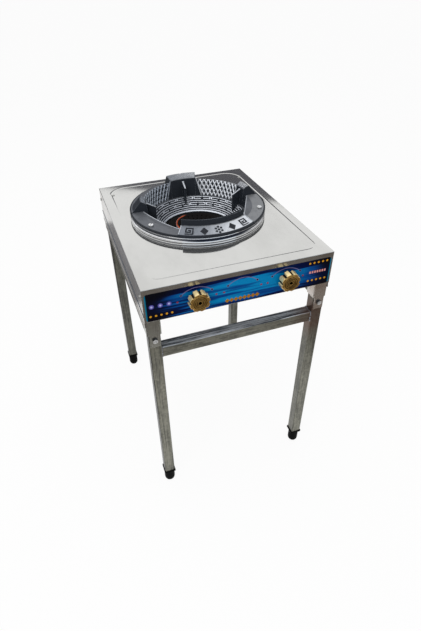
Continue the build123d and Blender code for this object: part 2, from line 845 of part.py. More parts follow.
def valve_body(side):
    x = side * knob_x
    neck_y = valve_nut_y - thread_clearance
    body = rod_y(x, valve_front_y, valve_rear_y, knob_z, valve_radius)
    body += rod_y(x, neck_y, valve_front_y, knob_z, valve_neck_radius)
    body += rod_y(x, valve_rear_y, valve_outlet_y, knob_z, valve_outlet_radius)
    inlet = rod_z(x, manifold_y, manifold_z, knob_z, valve_inlet_radius)
    inlet -= rod_x(x - valve_radius, x + valve_radius, manifold_y, manifold_z, manifold_radius)
    body += inlet
    body -= rod_y(x, neck_y, valve_front_y + valve_bore_depth, knob_z, stem_radius + stem_clearance)
    body -= rod_y(x, valve_front_y, valve_outlet_y, knob_z, gas_passage_radius)
    body -= rod_z(x, manifold_y, manifold_z, knob_z, gas_passage_radius)
    seat_y = valve_outlet_y - feed_socket_depth
    return body - rod_y(x, seat_y, valve_outlet_y, knob_z, feed_radius + joint_clearance)


def valve_nuts():
    solids = []
    for side in sides.values():
        x = side * knob_x
        nut = hexagon_y(x, valve_nut_y, fascia_y, knob_z, valve_nut_flats)
        solids.append(nut - rod_y(x, valve_nut_y, fascia_y, knob_z, valve_neck_radius + thread_clearance))
    return group(solids)


def valve_stem(side):
    x = side * knob_x
    stem = rod_y(x, stem_front_y, stem_rear_y, knob_z, stem_radius)
    stem -= block(x - stem_radius, x + stem_radius, stem_front_y, knob_seat_y,
                  knob_z + stem_radius - stem_flat, knob_z + stem_radius)
    hole_end_y = stem_front_y + knob_screw_length
    return stem - rod_y(x, stem_front_y, hole_end_y, knob_z, knob_screw_radius + thread_clearance)


def knob(side):
    x = side * knob_x
    body = rod_y(x, knob_back_y, knob_face_y, knob_z, knob_radius)
    face_rim = body.edges().group_by(Axis.Y)[0]
    body = chamfer(face_rim, knob_face_bevel)
    notch_circle = knob_radius + knob_notch_offset
    for i in range(knob_lobes):
        notch = rod_y(notch_circle, knob_back_y, knob_face_y, 0, knob_notch_radius)
        body -= Pos(x, 0, knob_z) * Rot(0, (i + 0.5) * 360 / knob_lobes, 0) * notch
    recess_radius = valve_nut_flats / sqrt(3) + knob_recess_clearance
    body -= rod_y(x, knob_back_y, knob_seat_y, knob_z, recess_radius)
    bore = rod_y(x, knob_seat_y, stem_front_y, knob_z, stem_radius + stem_clearance)
    bore -= block(x - knob_radius, x + knob_radius, stem_front_y, knob_seat_y,
                  knob_z + stem_radius - stem_flat + stem_clearance, knob_z + knob_radius)
    body -= bore
    pocket = knob_screw_head_radius + knob_screw_pocket_clearance
    pocket_y = knob_face_y + knob_screw_pocket_depth
    body -= rod_y(x, knob_face_y, pocket_y, knob_z, pocket)
    return body - rod_y(x, knob_face_y, knob_seat_y, knob_z, knob_screw_radius + bolt_hole_clearance)


def knob_screw(side):
    x = side * knob_x
    seat_y = knob_face_y + knob_screw_pocket_depth
    head = rod_y(x, seat_y - knob_screw_head_height, seat_y, knob_z, knob_screw_head_radius)
    return head + rod_y(x, seat_y, stem_front_y + knob_screw_length - bolt_end, knob_z, knob_screw_radius)


def gas_manifold():
    start = (manifold_left_x, manifold_y, manifold_z)
    end = (manifold_right_x, manifold_y, manifold_z)
    pipe = rod(start, end, manifold_radius) - rod(start, end, manifold_radius - manifold_wall)
    for side in sides.values():
        x = side * knob_x
        pipe -= rod_z(x, manifold_y, manifold_z, knob_z, gas_passage_radius)
    return pipe


def manifold_plug():
    inside = manifold_radius - manifold_wall - joint_clearance
    mouth = (manifold_left_x, manifold_y, manifold_z)
    tip = (manifold_left_x + end_plug_depth, manifold_y, manifold_z)
    head_end = (manifold_left_x - end_plug_head, manifold_y, manifold_z)
    return rod(mouth, tip, inside) + hexagon(head_end, mouth, 2 * manifold_radius)


def supply_elbow():
    corner = (supply_x, manifold_y, manifold_z)
    left = (supply_x - elbow_arm, manifold_y, manifold_z)
    rear = (supply_x, manifold_y + elbow_arm, manifold_z)
    outside = manifold_radius + elbow_wall
    inside = manifold_radius - manifold_wall
    seat = manifold_radius + joint_clearance
    elbow = rod(left, corner, outside) + rod(corner, rear, outside) + Pos(*corner) * Sphere(outside)
    elbow -= rod(left, corner, inside) + rod(corner, rear, inside) + Pos(*corner) * Sphere(inside)
    elbow -= rod(left, (manifold_right_x, manifold_y, manifold_z), seat)
    return elbow - rod(rear, (supply_x, supply_front_y, manifold_z), seat)


inlet_hex_y = rear_y - sheet - inlet_hex_thickness


def supply_pipe():
    start = (supply_x, supply_front_y, manifold_z)
    end = (supply_x, inlet_hex_y + supply_seat_depth, manifold_z)
    return rod(start, end, manifold_radius) - rod(start, end, manifold_radius - manifold_wall)


def gas_inlet():
    x = supply_x
    outer_y = rear_y + inlet_reach
    fitting = hexagon_y(x, inlet_hex_y, rear_y - sheet, manifold_z, inlet_hex_flats)
    neck_end_y = rear_y + locknut_thickness
    fitting += rod_y(x, rear_y - sheet, neck_end_y, manifold_z, inlet_neck_radius)
    fitting += rod_y(x, neck_end_y, outer_y, manifold_z, inlet_thread_radius)
    seat_end_y = inlet_hex_y + supply_seat_depth
    fitting -= rod_y(x, inlet_hex_y, seat_end_y, manifold_z, manifold_radius + joint_clearance)
    return fitting - rod_y(x, inlet_hex_y, outer_y, manifold_z, inlet_bore_radius)


def inlet_locknut():
    start = (supply_x, rear_y, manifold_z)
    end = (supply_x, rear_y + locknut_thickness, manifold_z)
    return hexagon(start, end, inlet_hex_flats) - rod(start, end, inlet_neck_radius + thread_clearance)


parts = {
    "top_plate": top_plate(),
    "front_panel": front_panel(),
    "rear_panel": rear_panel(),
    "control_fascia": control_fascia(),
    "panel_screws": panel_screws(),
    "top_rivets": top_rivets(),
    "leg_bolts": leg_bolts(),
    "leg_nuts": leg_nuts(),
    "front_crossbar": crossbar(socket_front_y, 1),
    "rear_crossbar": crossbar(socket_rear_y, -1),
    "wok_ring": wok_ring(),
    "trim_ring": trim_ring(),
    "ring_screws": ring_screws(),
    "ring_nuts": ring_nuts(),
    "burner_body": burner_body(),
    "outer_flame_ring": outer_flame_ring(),
    "inner_flame_cap": inner_flame_cap(),
    "burner_bar": burner_bar(),
    "burner_bar_screws": burner_bar_screws(),
    "valve_nuts": valve_nuts(),
    "gas_manifold": gas_manifold(),
    "manifold_plug": manifold_plug(),
    "supply_elbow": supply_elbow(),
    "supply_pipe": supply_pipe(),
    "gas_inlet": gas_inlet(),
    "inlet_locknut": inlet_locknut(),
}
for corner, (x, y, outward) in corners.items():
    parts[f"{corner}_socket"] = leg_socket(x, y, outward)
    parts[f"{corner}_leg"] = leg(x, leg_y(y, outward), outward)
    parts[f"{corner}_foot"] = foot(x, leg_y(y, outward))
for name, side in sides.items():
    parts[f"{name}_side_panel"] = side_panel(side)
    parts[f"{name}_side_rail"] = side_rail(side)
    parts[f"{name}_mixing_tube"] = mixing_tube(side)
    parts[f"{name}_air_shutter"] = air_shutter(side)
    parts[f"{name}_injector"] = injector(side)
    parts[f"{name}_feed_pipe"] = feed_pipe(side)
    parts[f"{name}_valve_body"] = valve_body(side)
    parts[f"{name}_valve_stem"] = valve_stem(side)
    parts[f"{name}_knob"] = knob(side)
    parts[f"{name}_knob_screw"] = knob_screw(side)

os.makedirs("parts", exist_ok=True)
for name, shape in parts.items():
    export_step(shape, f"parts/{name}.step")
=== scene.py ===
import json
import math
import random

import bmesh
import bpy
from bmesh.types import BMEdge, BMFace, BMVert
from mathutils import Matrix, Vector


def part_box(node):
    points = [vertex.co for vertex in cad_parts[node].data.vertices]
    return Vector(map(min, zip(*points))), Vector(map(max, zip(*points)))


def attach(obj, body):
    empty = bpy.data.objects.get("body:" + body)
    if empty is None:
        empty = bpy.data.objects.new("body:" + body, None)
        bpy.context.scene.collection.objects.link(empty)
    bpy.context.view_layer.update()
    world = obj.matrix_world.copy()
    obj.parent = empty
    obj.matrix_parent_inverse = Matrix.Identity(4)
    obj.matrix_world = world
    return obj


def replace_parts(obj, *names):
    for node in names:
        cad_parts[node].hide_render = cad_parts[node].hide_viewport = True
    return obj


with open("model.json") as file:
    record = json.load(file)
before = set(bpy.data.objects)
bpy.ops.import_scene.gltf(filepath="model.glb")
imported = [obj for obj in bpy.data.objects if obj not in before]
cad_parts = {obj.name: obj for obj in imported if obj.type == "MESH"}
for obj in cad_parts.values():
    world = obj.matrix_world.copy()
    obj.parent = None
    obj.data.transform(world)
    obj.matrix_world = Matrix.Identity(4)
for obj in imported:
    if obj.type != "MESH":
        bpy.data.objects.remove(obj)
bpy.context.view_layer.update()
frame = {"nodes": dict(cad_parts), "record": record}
nodes = frame["nodes"]
print("frame:", len(nodes), "CAD nodes")


def middleOf(*box):  # centre of a box, from its low and high corners
    return [(low + high) / 2 for low, high in zip(*box)]


mm = 0.001
beadHeight = 1.2 * mm
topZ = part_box("top_plate")[1].z - beadHeight  # plate surface, below the bead
ringX, ringY = middleOf(*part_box("wok_ring"))[:2]


class Plan(dict):  # settings of a piece or a finish, read as plan.name
    __getattr__ = dict.__getitem__


# shader helpers
class Sock:  # a node socket that takes part in Python maths
    def __init__(self, look, link):
        self.look = look
        self.link = link

    def calc(self, operation, *others):
        return self.look.add("Math", {"operation": operation}, dict(enumerate((self,) + others)))

    def __add__(self, other):
        return self.calc("ADD", other)

    __radd__ = __add__

    def __sub__(self, other):
        return self.calc("SUBTRACT", other)

    def __rsub__(self, other):
        return self.look.add("Math", {"operation": "SUBTRACT"}, {0: other, 1: self})

    def __mul__(self, other):
        return self.calc("MULTIPLY", other)

    __rmul__ = __mul__

    def __pow__(self, other):
        return self.calc("POWER", other)

    def __abs__(self):
        return self.calc("ABSOLUTE")

    def __or__(self, other):  # the stronger of two masks
        return self.calc("MAXIMUM", other)


class Look:  # one material and its nodes
    def __init__(self, name, owner=None):
        self.material = owner or bpy.data.materials.new(name)
        self.material.use_nodes = True
        self.tree = self.material.node_tree
        self.tree.nodes.clear()

    def add(self, kind, settings=None, inputs=None, output=0):
        node = self.tree.nodes.new("ShaderNode" + kind)
        for key, value in (settings or {}).items():
            setattr(node, key, value)
        for key, value in (inputs or {}).items():
            if isinstance(value, Sock):
                self.tree.links.new(value.link, node.inputs[key])
            elif node.inputs[key].type == "RGBA":
                node.inputs[key].default_value = (*value, 1.0)
            else:
                node.inputs[key].default_value = value
        return Sock(self, node.outputs[output]) if len(node.outputs) else None

    def place(self, scale=(1, 1, 1), turn=(0, 0, 0), shift=(0, 0, 0)):
        spot = self.add("TexCoord", output="Object")
        inputs = {"Vector": spot, "Scale": scale, "Rotation": turn, "Location": shift}
        return self.add("Mapping", {}, inputs)

    def noise(self, size, detail, rough, **where):
        inputs = {"Vector": self.place(**where), "Scale": size, "Detail": detail, "Roughness": rough}
        return self.add("TexNoise", {}, inputs)

    def step(self, value, low, high):  # 0 at low, 1 at high, whichever is the larger
        inputs = {"Value": value, "From Min": low, "From Max": high}
        return self.add("MapRange", {"interpolation_type": "SMOOTHSTEP"}, inputs)

    def spread(self, value, low, high):  # 0..1 to low..high
        return self.add("MapRange", {}, {"Value": value, "To Min": low, "To Max": high})

    def mix(self, factor, first, second):
        return self.add("Mix", {"data_type": "RGBA"}, {0: factor, 6: first, 7: second}, output=2)

    def fade(self, value, ends, first, second):  # from one colour to another over a step
        return self.mix(self.step(value, *ends), first, second)

    def normal(self):
        return self.add("NewGeometry", output="Normal")

    def rounded(self, radius):  # normal with the sharp edges rounded off
        return self.add("Bevel", {"samples": 6}, {"Radius": radius})

    def edges(self, radius, low, high):  # 1 along edges, where the rounded normal leaves the face
        inputs = {0: self.rounded(radius), 1: self.normal()}
        same = self.add("VectorMath", {"operation": "DOT_PRODUCT"}, inputs, output="Value")
        return self.step(1 - same, low, high)

    def bump(self, height, distance, strength, radius=0.0):
        under = {"Normal": self.rounded(radius)} if radius else {}
        return self.add("Bump", {}, {"Height": height, "Distance": distance, "Strength": strength, **under})

    def axes(self, vector):
        first = self.add("SeparateXYZ", {}, {"Vector": vector})
        return [Sock(self, output) for output in first.link.node.outputs]

    def facing(self):  # x, y and z of the surface normal
        return self.axes(self.normal())

    def spot(self, **where):  # x, y and z on the piece
        return self.axes(self.place(**where))

    def overPlate(self):  # the same in millimetres, with 0 at the plate surface
        return self.spot(scale=(1000, 1000, 1000), shift=(0, 0, -topZ * 1000))

    def aroundRing(self):  # x, y, z and the radius from the ring's axis
        x, y, z = self.spot(shift=(-ringX, -ringY, 0))
        return x, y, z, reachOf(x, y)

    def done(self, colour, cloud, plan, **more):  # the cloud runs over the plan's range of roughness
        names = {"metal": "Metallic", "specular": "Specular IOR Level", "normal": "Normal"}
        inputs = {"Base Color": colour, "Roughness": self.spread(cloud, *plan.rough)}
        inputs.update({names[key]: value for key, value in {**plan, **more}.items() if key in names})
        self.add("OutputMaterial", {}, {"Surface": self.add("BsdfPrincipled", {}, inputs)})
        return self.material


def reachOf(aside, above):
    return (aside * aside + above * above) ** 0.5


# finishes; a noise is given by its scale, detail and roughness, a step by where it starts and ends
leftHalf = (0.02, -0.02)  # x from the right half to the left
rightHalf = leftHalf[::-1]
plateFinish = Plan(
    pale=(0.67, 0.67, 0.655), smear=(0.60, 0.60, 0.585), smears=(0.45, 0.75), smearScale=(9, 4, 9),
    hairScale=(14, 900, 14), wave=(5.0, 1.0, 0.4), waveDeep=0.3 * mm, fold=0.9 * mm,
    rough=(0.035, 0.085), metal=0.94)


def polishedPlate(plan):
    look = Look("polishedPlate")
    smear = look.noise(1.0, 4.0, 0.6, scale=plan.smearScale)
    hair = look.noise(1.0, 2.0, 0.6, scale=plan.hairScale)
    colour = look.fade(smear, plan.smears, plan.pale, plan.smear)
    wave = look.bump(look.noise(*plan.wave), plan.waveDeep, 0.5, plan.fold)
    return look.done(colour, smear * 0.7 + hair * 0.3, plan, specular=0.0, normal=wave)


sheetFinish = Plan(
    grain=(22, 22, 700), cloud=(16, 16, 30), clouds=(0.40, 0.66), pale=(0.53, 0.525, 0.51),
    warm=(0.385, 0.35, 0.32), rough=(0.14, 0.28))
socketFinish = Plan(
    grain=(420, 420, 9), cloud=(16, 16, 30), clouds=(0.40, 0.66), lines=(0.45, 0.62),
    pale=(0.76, 0.71, 0.67), warm=(0.62, 0.53, 0.47), cool=(0.44, 0.45, 0.415),
    line=(0.33, 0.325, 0.30), rough=(0.16, 0.32))


def stainlessSheet(name, plan):  # the pattern's scale is small along the grain
    look = Look(name)
    streak = look.noise(1.0, 3.0, 0.65, scale=plan.grain)
    cloud = look.noise(1.0, 3.0, 0.6, scale=plan.cloud)
    colour = look.fade(cloud * 0.7 + streak * 0.3, plan.clouds, plan.pale, plan.warm)
    if "cool" in plan:  # greyer on the left, with darker drawing lines
        lined = look.fade(streak, plan.lines, plan.cool, plan.line)
        colour = look.fade(look.spot()[0], leftHalf, colour, lined)
    grain = look.bump(streak, 0.03 * mm, 0.4, 0.8 * mm)
    return look.done(colour, streak, plan, metal=1.0, normal=grain)


zinc = Plan(cloud=(160.0, 3.0, 0.6), clouds=(0.35, 0.7), bump=(0.05 * mm, 0.4))
plainFinishes = {
    "zincPlate": Plan(
        zinc, pale=(0.66, 0.66, 0.63), dull=(0.44, 0.44, 0.42), rough=(0.22, 0.42), metal=1.0),
    "brightZinc": Plan(
        zinc, pale=(0.90, 0.91, 0.92), dull=(0.78, 0.79, 0.80), rough=(0.25, 0.40), metal=0.6),
    # the darker flanks of the bolts are painted shade
    "darkBolt": Plan(
        zinc, pale=(0.78, 0.79, 0.79), dull=(0.36, 0.365, 0.375), side=(0.022, 0.023, 0.026),
        sides=(0.85, 0.55), rough=(0.16, 0.34), metal=0.6),
    # a dark blue for a painted shade line along the side panels
    "shadeLineSteel": Plan(
        zinc, pale=(0.050, 0.075, 0.11), dull=(0.025, 0.040, 0.06), rough=(0.20, 0.30), metal=0.8),
    "burnerIron": Plan(
        cloud=(420.0, 4.0, 0.65), clouds=(0.4, 0.7), pale=(0.006, 0.006, 0.006),
        dull=(0.018, 0.017, 0.016), rough=(0.6, 0.8), specular=0.04, bump=(0.3 * mm, 0.6)),
    "pipeSteel": Plan(
        cloud=(60.0, 4.0, 0.6), clouds=(0.35, 0.7), pale=(0.50, 0.51, 0.51),
        dull=(0.30, 0.305, 0.30), rough=(0.3, 0.5), metal=0.95, bump=(0.1 * mm, 0.4)),
    "copperPipe": Plan(
        cloud=(70.0, 4.0, 0.6), clouds=(0.4, 0.75), pale=(0.72, 0.36, 0.20),
        dull=(0.38, 0.16, 0.09), rough=(0.2, 0.4), metal=1.0),
    "machinedBrass": Plan(
        cloud=(90.0, 4.0, 0.6), clouds=(0.4, 0.75), pale=(0.72, 0.54, 0.25),
        dull=(0.48, 0.33, 0.13), rough=(0.2, 0.38), metal=1.0),
    "blackScrew": Plan(
        cloud=(200.0, 3.0, 0.6), clouds=(0.4, 0.7), pale=(0.20, 0.135, 0.055),
        dull=(0.09, 0.062, 0.030), rough=(0.35, 0.55), metal=0.8),
    "weldBead": Plan(
        cloud=(300.0, 3.0, 0.6), clouds=(0.4, 0.65), pale=(0.40, 0.42, 0.46),
        dull=(0.13, 0.10, 0.09), rough=(0.25, 0.5), metal=0.9, bump=(0.3 * mm, 0.6)),
    "blackPlastic": Plan(
        cloud=(900.0, 2.0, 0.5), clouds=(0.3, 0.8), pale=(0.002, 0.002, 0.002),
        dull=(0.006, 0.006, 0.006), rough=(0.45, 0.60), specular=0.03, bump=(0.05 * mm, 0.4)),
}


def cloudy(name, plan):  # two tones in clouds, with a bump where the surface has one
    look = Look(name)
    cloud = look.noise(*plan.cloud)
    colour = look.fade(cloud, plan.clouds, plan.pale, plan.dull)
    if "side" in plan:  # painted shade: the flanks are darker than the end faces
        along = look.facing()[1]
        colour = look.fade(along * along, plan.sides, colour, plan.side)
    more = {"normal": look.bump(cloud, *plan.bump)} if "bump" in plan else {}
    return look.done(colour, cloud, plan, **more)


tubeFinish = Plan(
    pale=(0.255, 0.25, 0.205), dull=(0.115, 0.114, 0.096), shades=(0.36, 0.62),
    line=(0.022, 0.022, 0.021), lines=(0.55, 0.68), lineScale=2.2, lineShift=(3.1, 1.7, 0.4),
    spangle=170.0, cloud=(14.0, 4.0, 0.65), rough=(0.42, 0.22), metal=0.8, sides=(0.08, 0.45),
    sideDark=(0.3, 0.85), rear=(-0.05, 0.05), rearDark=0.45, cool=(0.045, 0.055, 0.075),
    coolLine=(0.66, 0.72, 0.80), coolLines=(0.42, 0.62), upper=(0.5, 0.9),
    heat=(0.15, 0.085, 0.062), heatClouds=(0.30, 0.62))


# weld: its axis and middle, and where the heat tint ends and is full
def galvanisedTube(name, stretch, weld=None, cool=False, flank=False):
    look = Look(name)
    plan = tubeFinish
    metal = plan.metal
    streak = look.noise(1.0, 4.0, 0.7, scale=stretch)
    lineScale = [plan.lineScale * along for along in stretch]
    line = look.noise(1.0, 2.0, 0.5, scale=lineScale, shift=plan.lineShift)
    cells = {"Vector": look.place(), "Scale": plan.spangle}
    spangle = look.add("TexVoronoi", {"feature": "F1"}, cells, output="Color")
    tone = look.add("SeparateColor", {}, {"Color": spangle})
    cloud = look.noise(*plan.cloud)
    shade = streak * 0.65 + tone * 0.1 + cloud * 0.25
    colour = look.fade(shade, plan.shades, plan.dull, plan.pale)
    colour = look.mix(look.step(line, *plan.lines) * 0.6, colour, plan.line)
    if flank:  # painted shade: darker on the sides, most on the left, and on the rear legs
        aside = look.facing()[0]
        x, y = look.spot()[:2]
        sides = look.step(aside * aside, *plan.sides)
        sides = sides * look.spread(look.step(x, *leftHalf), *plan.sideDark)
        colour = look.mix(sides | look.step(y, *plan.rear) * plan.rearDark, colour, plan.line)
    if cool:  # painted reflection: upper faces take a dark blue sheen, with pale painted highlight streaks
        sheen = look.fade(streak, plan.coolLines, plan.cool, plan.coolLine)
        upper = look.step(look.facing()[2], *plan.upper)
        colour = look.mix(upper * 0.9, colour, sheen)
        metal = metal - 0.4 * upper
    if weld:
        axis, middle, ends, full = weld
        spot = look.spot()
        heat = look.step(abs(spot[axis] - middle), ends, full) * look.step(spot[0], *rightHalf)
        colour = look.mix(heat * look.step(cloud, *plan.heatClouds) * 0.75, colour, plan.heat)
    drawn = look.bump(streak, 0.10 * mm, 0.5, 1.8 * mm)
    return look.done(colour, shade, plan, metal=metal, normal=drawn)


castFinish = Plan(
    black=(0.020, 0.024, 0.031), silver=(0.47, 0.50, 0.56), rough=(0.36, 0.56), lugRise=(31, 33),
    lugFront=(-0.085, -0.095), rightSide=(-0.05, 0.05), specks=(0.50, 0.72), edge=0.8 * mm,
    edges=(0.02, 0.16), rim=(0.1535, 0.1550))
# up: how far up a face looks to take the tone, which is painted light from above; shine: a painted
# highlight tone on the right, outside a radius
castTones = {
    "castIron": Plan(
        tone=(0.152, 0.161, 0.180), up=(0.78, 0.86), worn=0.6, shine=(0.26, 0.27, 0.285),
        outside=0.1285),
    # the light tones of the raised patterns, edge strips and plaque are painted highlights, and the motifs'
    # near black is painted shade
    "castRelief": Plan(tone=(0.46, 0.49, 0.55), up=(-0.25, 0.30), shine=(0.82, 0.86, 0.93)),
    "castLattice": Plan(tone=(0.40, 0.44, 0.50), up=(-0.25, 0.30), shine=(0.92, 0.95, 1.0)),
    "castEdgeHighlight": Plan(tone=(0.56, 0.59, 0.64), up=(-0.25, 0.30)),
    "castLitPlaque": Plan(tone=(0.23, 0.25, 0.285), up=(0.50, 0.80), shine=(0.70, 0.73, 0.78)),
    "castMotif": Plan(tone=(0.028, 0.031, 0.038), up=(0.72, 0.90)),
}


def castIron(name, plan):  # painted light from above: faces that look up take the lighter tone
    look = Look(name)
    black, tone = castFinish.black, plan.tone
    x, y, z, reach = look.aroundRing()
    grain = look.noise(700.0, 3.0, 0.6)
    cloud = look.noise(60.0, 4.0, 0.6)
    # no painted light here: the top of the front lug stays black
    frontLug = look.step(z, *(topZ + rise * mm for rise in castFinish.lugRise))
    frontLug = frontLug * look.step(y, *castFinish.lugFront)
    mask = look.step(look.facing()[2] + (cloud - 0.5) * 0.25, *plan.up) * (1 - frontLug)
    # painted highlight: a lighter tone on the right side, outside a radius
    if "shine" in plan:
        outside = plan.get("outside", 0.0)
        right = look.step(x + (cloud - 0.5) * 0.06, *castFinish.rightSide)
        tone = look.mix(right * look.step(reach, outside - 1 * mm, outside), tone, plan.shine)
    colour = look.mix(mask, black, tone)
    colour = look.mix(look.step(grain * 0.6 + cloud * 0.4, *castFinish.specks) * 0.55, colour, black)
    brightPart = mask
    if "worn" in plan:
        # worn silver edges, with a painted highlight along them
        edge = look.edges(castFinish.edge, *castFinish.edges)
        edge = edge * look.spread(cloud, plan.worn * 0.4, plan.worn)
        colour = look.mix(edge, colour, castFinish.silver)
        brightPart = mask | edge
    colour = look.fade(reach, castFinish.rim, colour, black)  # the rim keeps its black edge
    sand = look.bump(grain, 0.25 * mm, 0.55)
    return look.done(colour, cloud, castFinish, metal=brightPart * 0.5, specular=0.15, normal=sand)


# groove: the dark tone of the painted reflection and shadow
chromeFinish = Plan(  # in mm, heights from the plate up
    bright=(0.97, 0.98, 1.0), dull=(0.78, 0.82, 0.88), groove=(0.022, 0.030, 0.046),
    rough=(0.04, 0.10), metal=0.85, front=(-98, -124), neckFoot=(4.6, 5.1), frontFoot=(3.4, 4.0),
    neckHead=(9.0, 8.4), neckStain=(0.85, 1.0), lipFoot=(10.4, 10.5), lipHead=(11.2, 10.8),
    base=(1.1, 0.5), baseStain=(0.35, 1.0), clouds=(0.5, 0.8))


def chromeTrim(plan):
    look = Look("chromeTrim")
    cloud = look.noise(40.0, 3.0, 0.6)
    colour = look.fade(cloud, plan.clouds, plan.bright, plan.dull)
    along, height = look.overPlate()[1:]
    front = look.step(along, *plan.front)  # painted dark reflection and shadow, strongest at the front
    # painted dark reflection on the neck and lip
    neck = look.step(height, *plan.neckFoot) | look.step(height, *plan.frontFoot) * front
    neck = neck * look.step(height, *plan.neckHead)
    lip = look.step(height, *plan.lipFoot) * look.step(height, *plan.lipHead)
    # painted contact shadow along the base
    base = look.step(height, *plan.base) * look.spread(front, *plan.baseStain)
    paintedDark = (neck | lip) * look.spread(front, *plan.neckStain) | base
    return look.done(look.mix(paintedDark, colour, plan.groove), cloud, plan)


copperFinish = Plan(
    bright=(0.66, 0.120, 0.030), dark=(0.26, 0.042, 0.013), soot=(0.006, 0.005, 0.005),
    worn=(0.42, 0.44, 0.48), side=(-0.012, -0.030), inner=(0.0494, 0.0500), outer=(0.0524, 0.0528),
    clouds=(0.35, 0.7), rough=(0.45, 0.65))


def copperBurner(plan):  # black, with copper along the rim on the left side only, and a painted highlight in grey on the rim's outer edge
    look = Look("copperBurner")
    cloud = look.noise(90.0, 4.0, 0.6)
    x, y, z, reach = look.aroundRing()
    brightPart = look.step(x + (cloud - 0.5) * 0.012, *plan.side) * look.step(reach, *plan.inner)
    copper = look.fade(cloud, plan.clouds, plan.bright, plan.dark)
    # painted highlight: grey on the rim's outer edge
    copper = look.fade(reach, plan.outer, copper, plan.worn)
    colour = look.mix(brightPart, plan.soot, copper)
    return look.done(colour, cloud, plan, metal=brightPart * 0.6, specular=0.05)


# the lobes' cream is a painted highlight, and the dark between them painted shade
knobFinish = Plan(
    gold=(0.80, 0.51, 0.16), tarnish=(0.40, 0.22, 0.055), lobe=(0.95, 0.77, 0.40),
    gap=(0.030, 0.018, 0.006), face=(-0.55, -0.75), clouds=(0.42, 0.76), pocket=(0.005, 0.004),
    lobes=(0.0186, 0.0193), rough=(0.14, 0.28))


def goldKnob(plan):
    look = Look("goldKnob")
    middleX, _, middleZ = middleOf(*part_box("right_knob"))
    cloud = look.noise(75.0, 4.0, 0.6)
    x, _, z = look.spot()
    reach = reachOf(abs(x) - middleX, z - middleZ)
    face = look.step(look.facing()[1], *plan.face)
    turnedFace = look.fade(cloud, plan.clouds, plan.gold, plan.tarnish)
    gap = look.fade(reach, plan.pocket, plan.gap, plan.tarnish)  # the screw pocket is lighter
    lobe = look.fade(reach, plan.lobes, gap, plan.lobe)  # painted shade between the lobes, and a painted highlight cream on them
    colour = look.mix(face, lobe, turnedFace)
    worn = look.bump(cloud, 0.08 * mm, 0.3, 0.4 * mm)
    return look.done(colour, cloud, plan, metal=0.6 + 0.4 * face, normal=worn)


printTones = Plan(
    night=(0.003, 0.003, 0.006), navy=(0.001, 0.005, 0.045), blue=(0.001, 0.050, 0.220),
    cyan=(0.001, 0.200, 0.450), arc=(0.15, 0.13, 0.27), amber=(0.62, 0.29, 0.015),
    badge=(0.10, 0.09, 0.36), spot=(0.42, 0.42, 0.70), red=(0.22, 0.035, 0.06),
    pink=(0.66, 0.27, 0.25), edge=(0.0, 0.14, 0.24), bronze=(0.34, 0.15, 0.012))
printPlan = Plan(
    flow=(5.0, 1, 75.0), flowTurn=-7, rays=(9.0, 1, 190.0), rayTurn=-11, streaks=(0.36, 0.64), middle=5,
    middleHalf=(200, 60), band=-44, bandHalf=(34, 4), glow=(192, 120), arcs=(-95, 0, 94), arcRadius=45.0,
    arcCentre=-61.3, arcHalf=31.0, arcWidth=(1.1, 0.5), arcFoot=(-45, -40), arcEnd=2.6, arcEye=1.7,
    dotRows=((-166.3, -62.4, 10.6), (166.3, -17.5, 9.8), (166.3, -59.2, 9.8)), dots=5, dot=2.3,
    badges=(-184, -167, -150), badgeDrop=-40.4, badge=4.8, spot=2.2,
    marks=(-133.5, -55, -39, 40, 54, 133), markDrop=-42.0, mark=2.2, lozenges=8, lozengeStep=9.2,
    lozengeDrop=-64.0, lozenge=5.0, bars=7, barFrom=149.5, barStep=5.7, barDrop=-39.5,
    barHalf=(1.9, 2.7), edge=(193.2, 194.2), soft=0.5, rough=(0.20, 0.34))


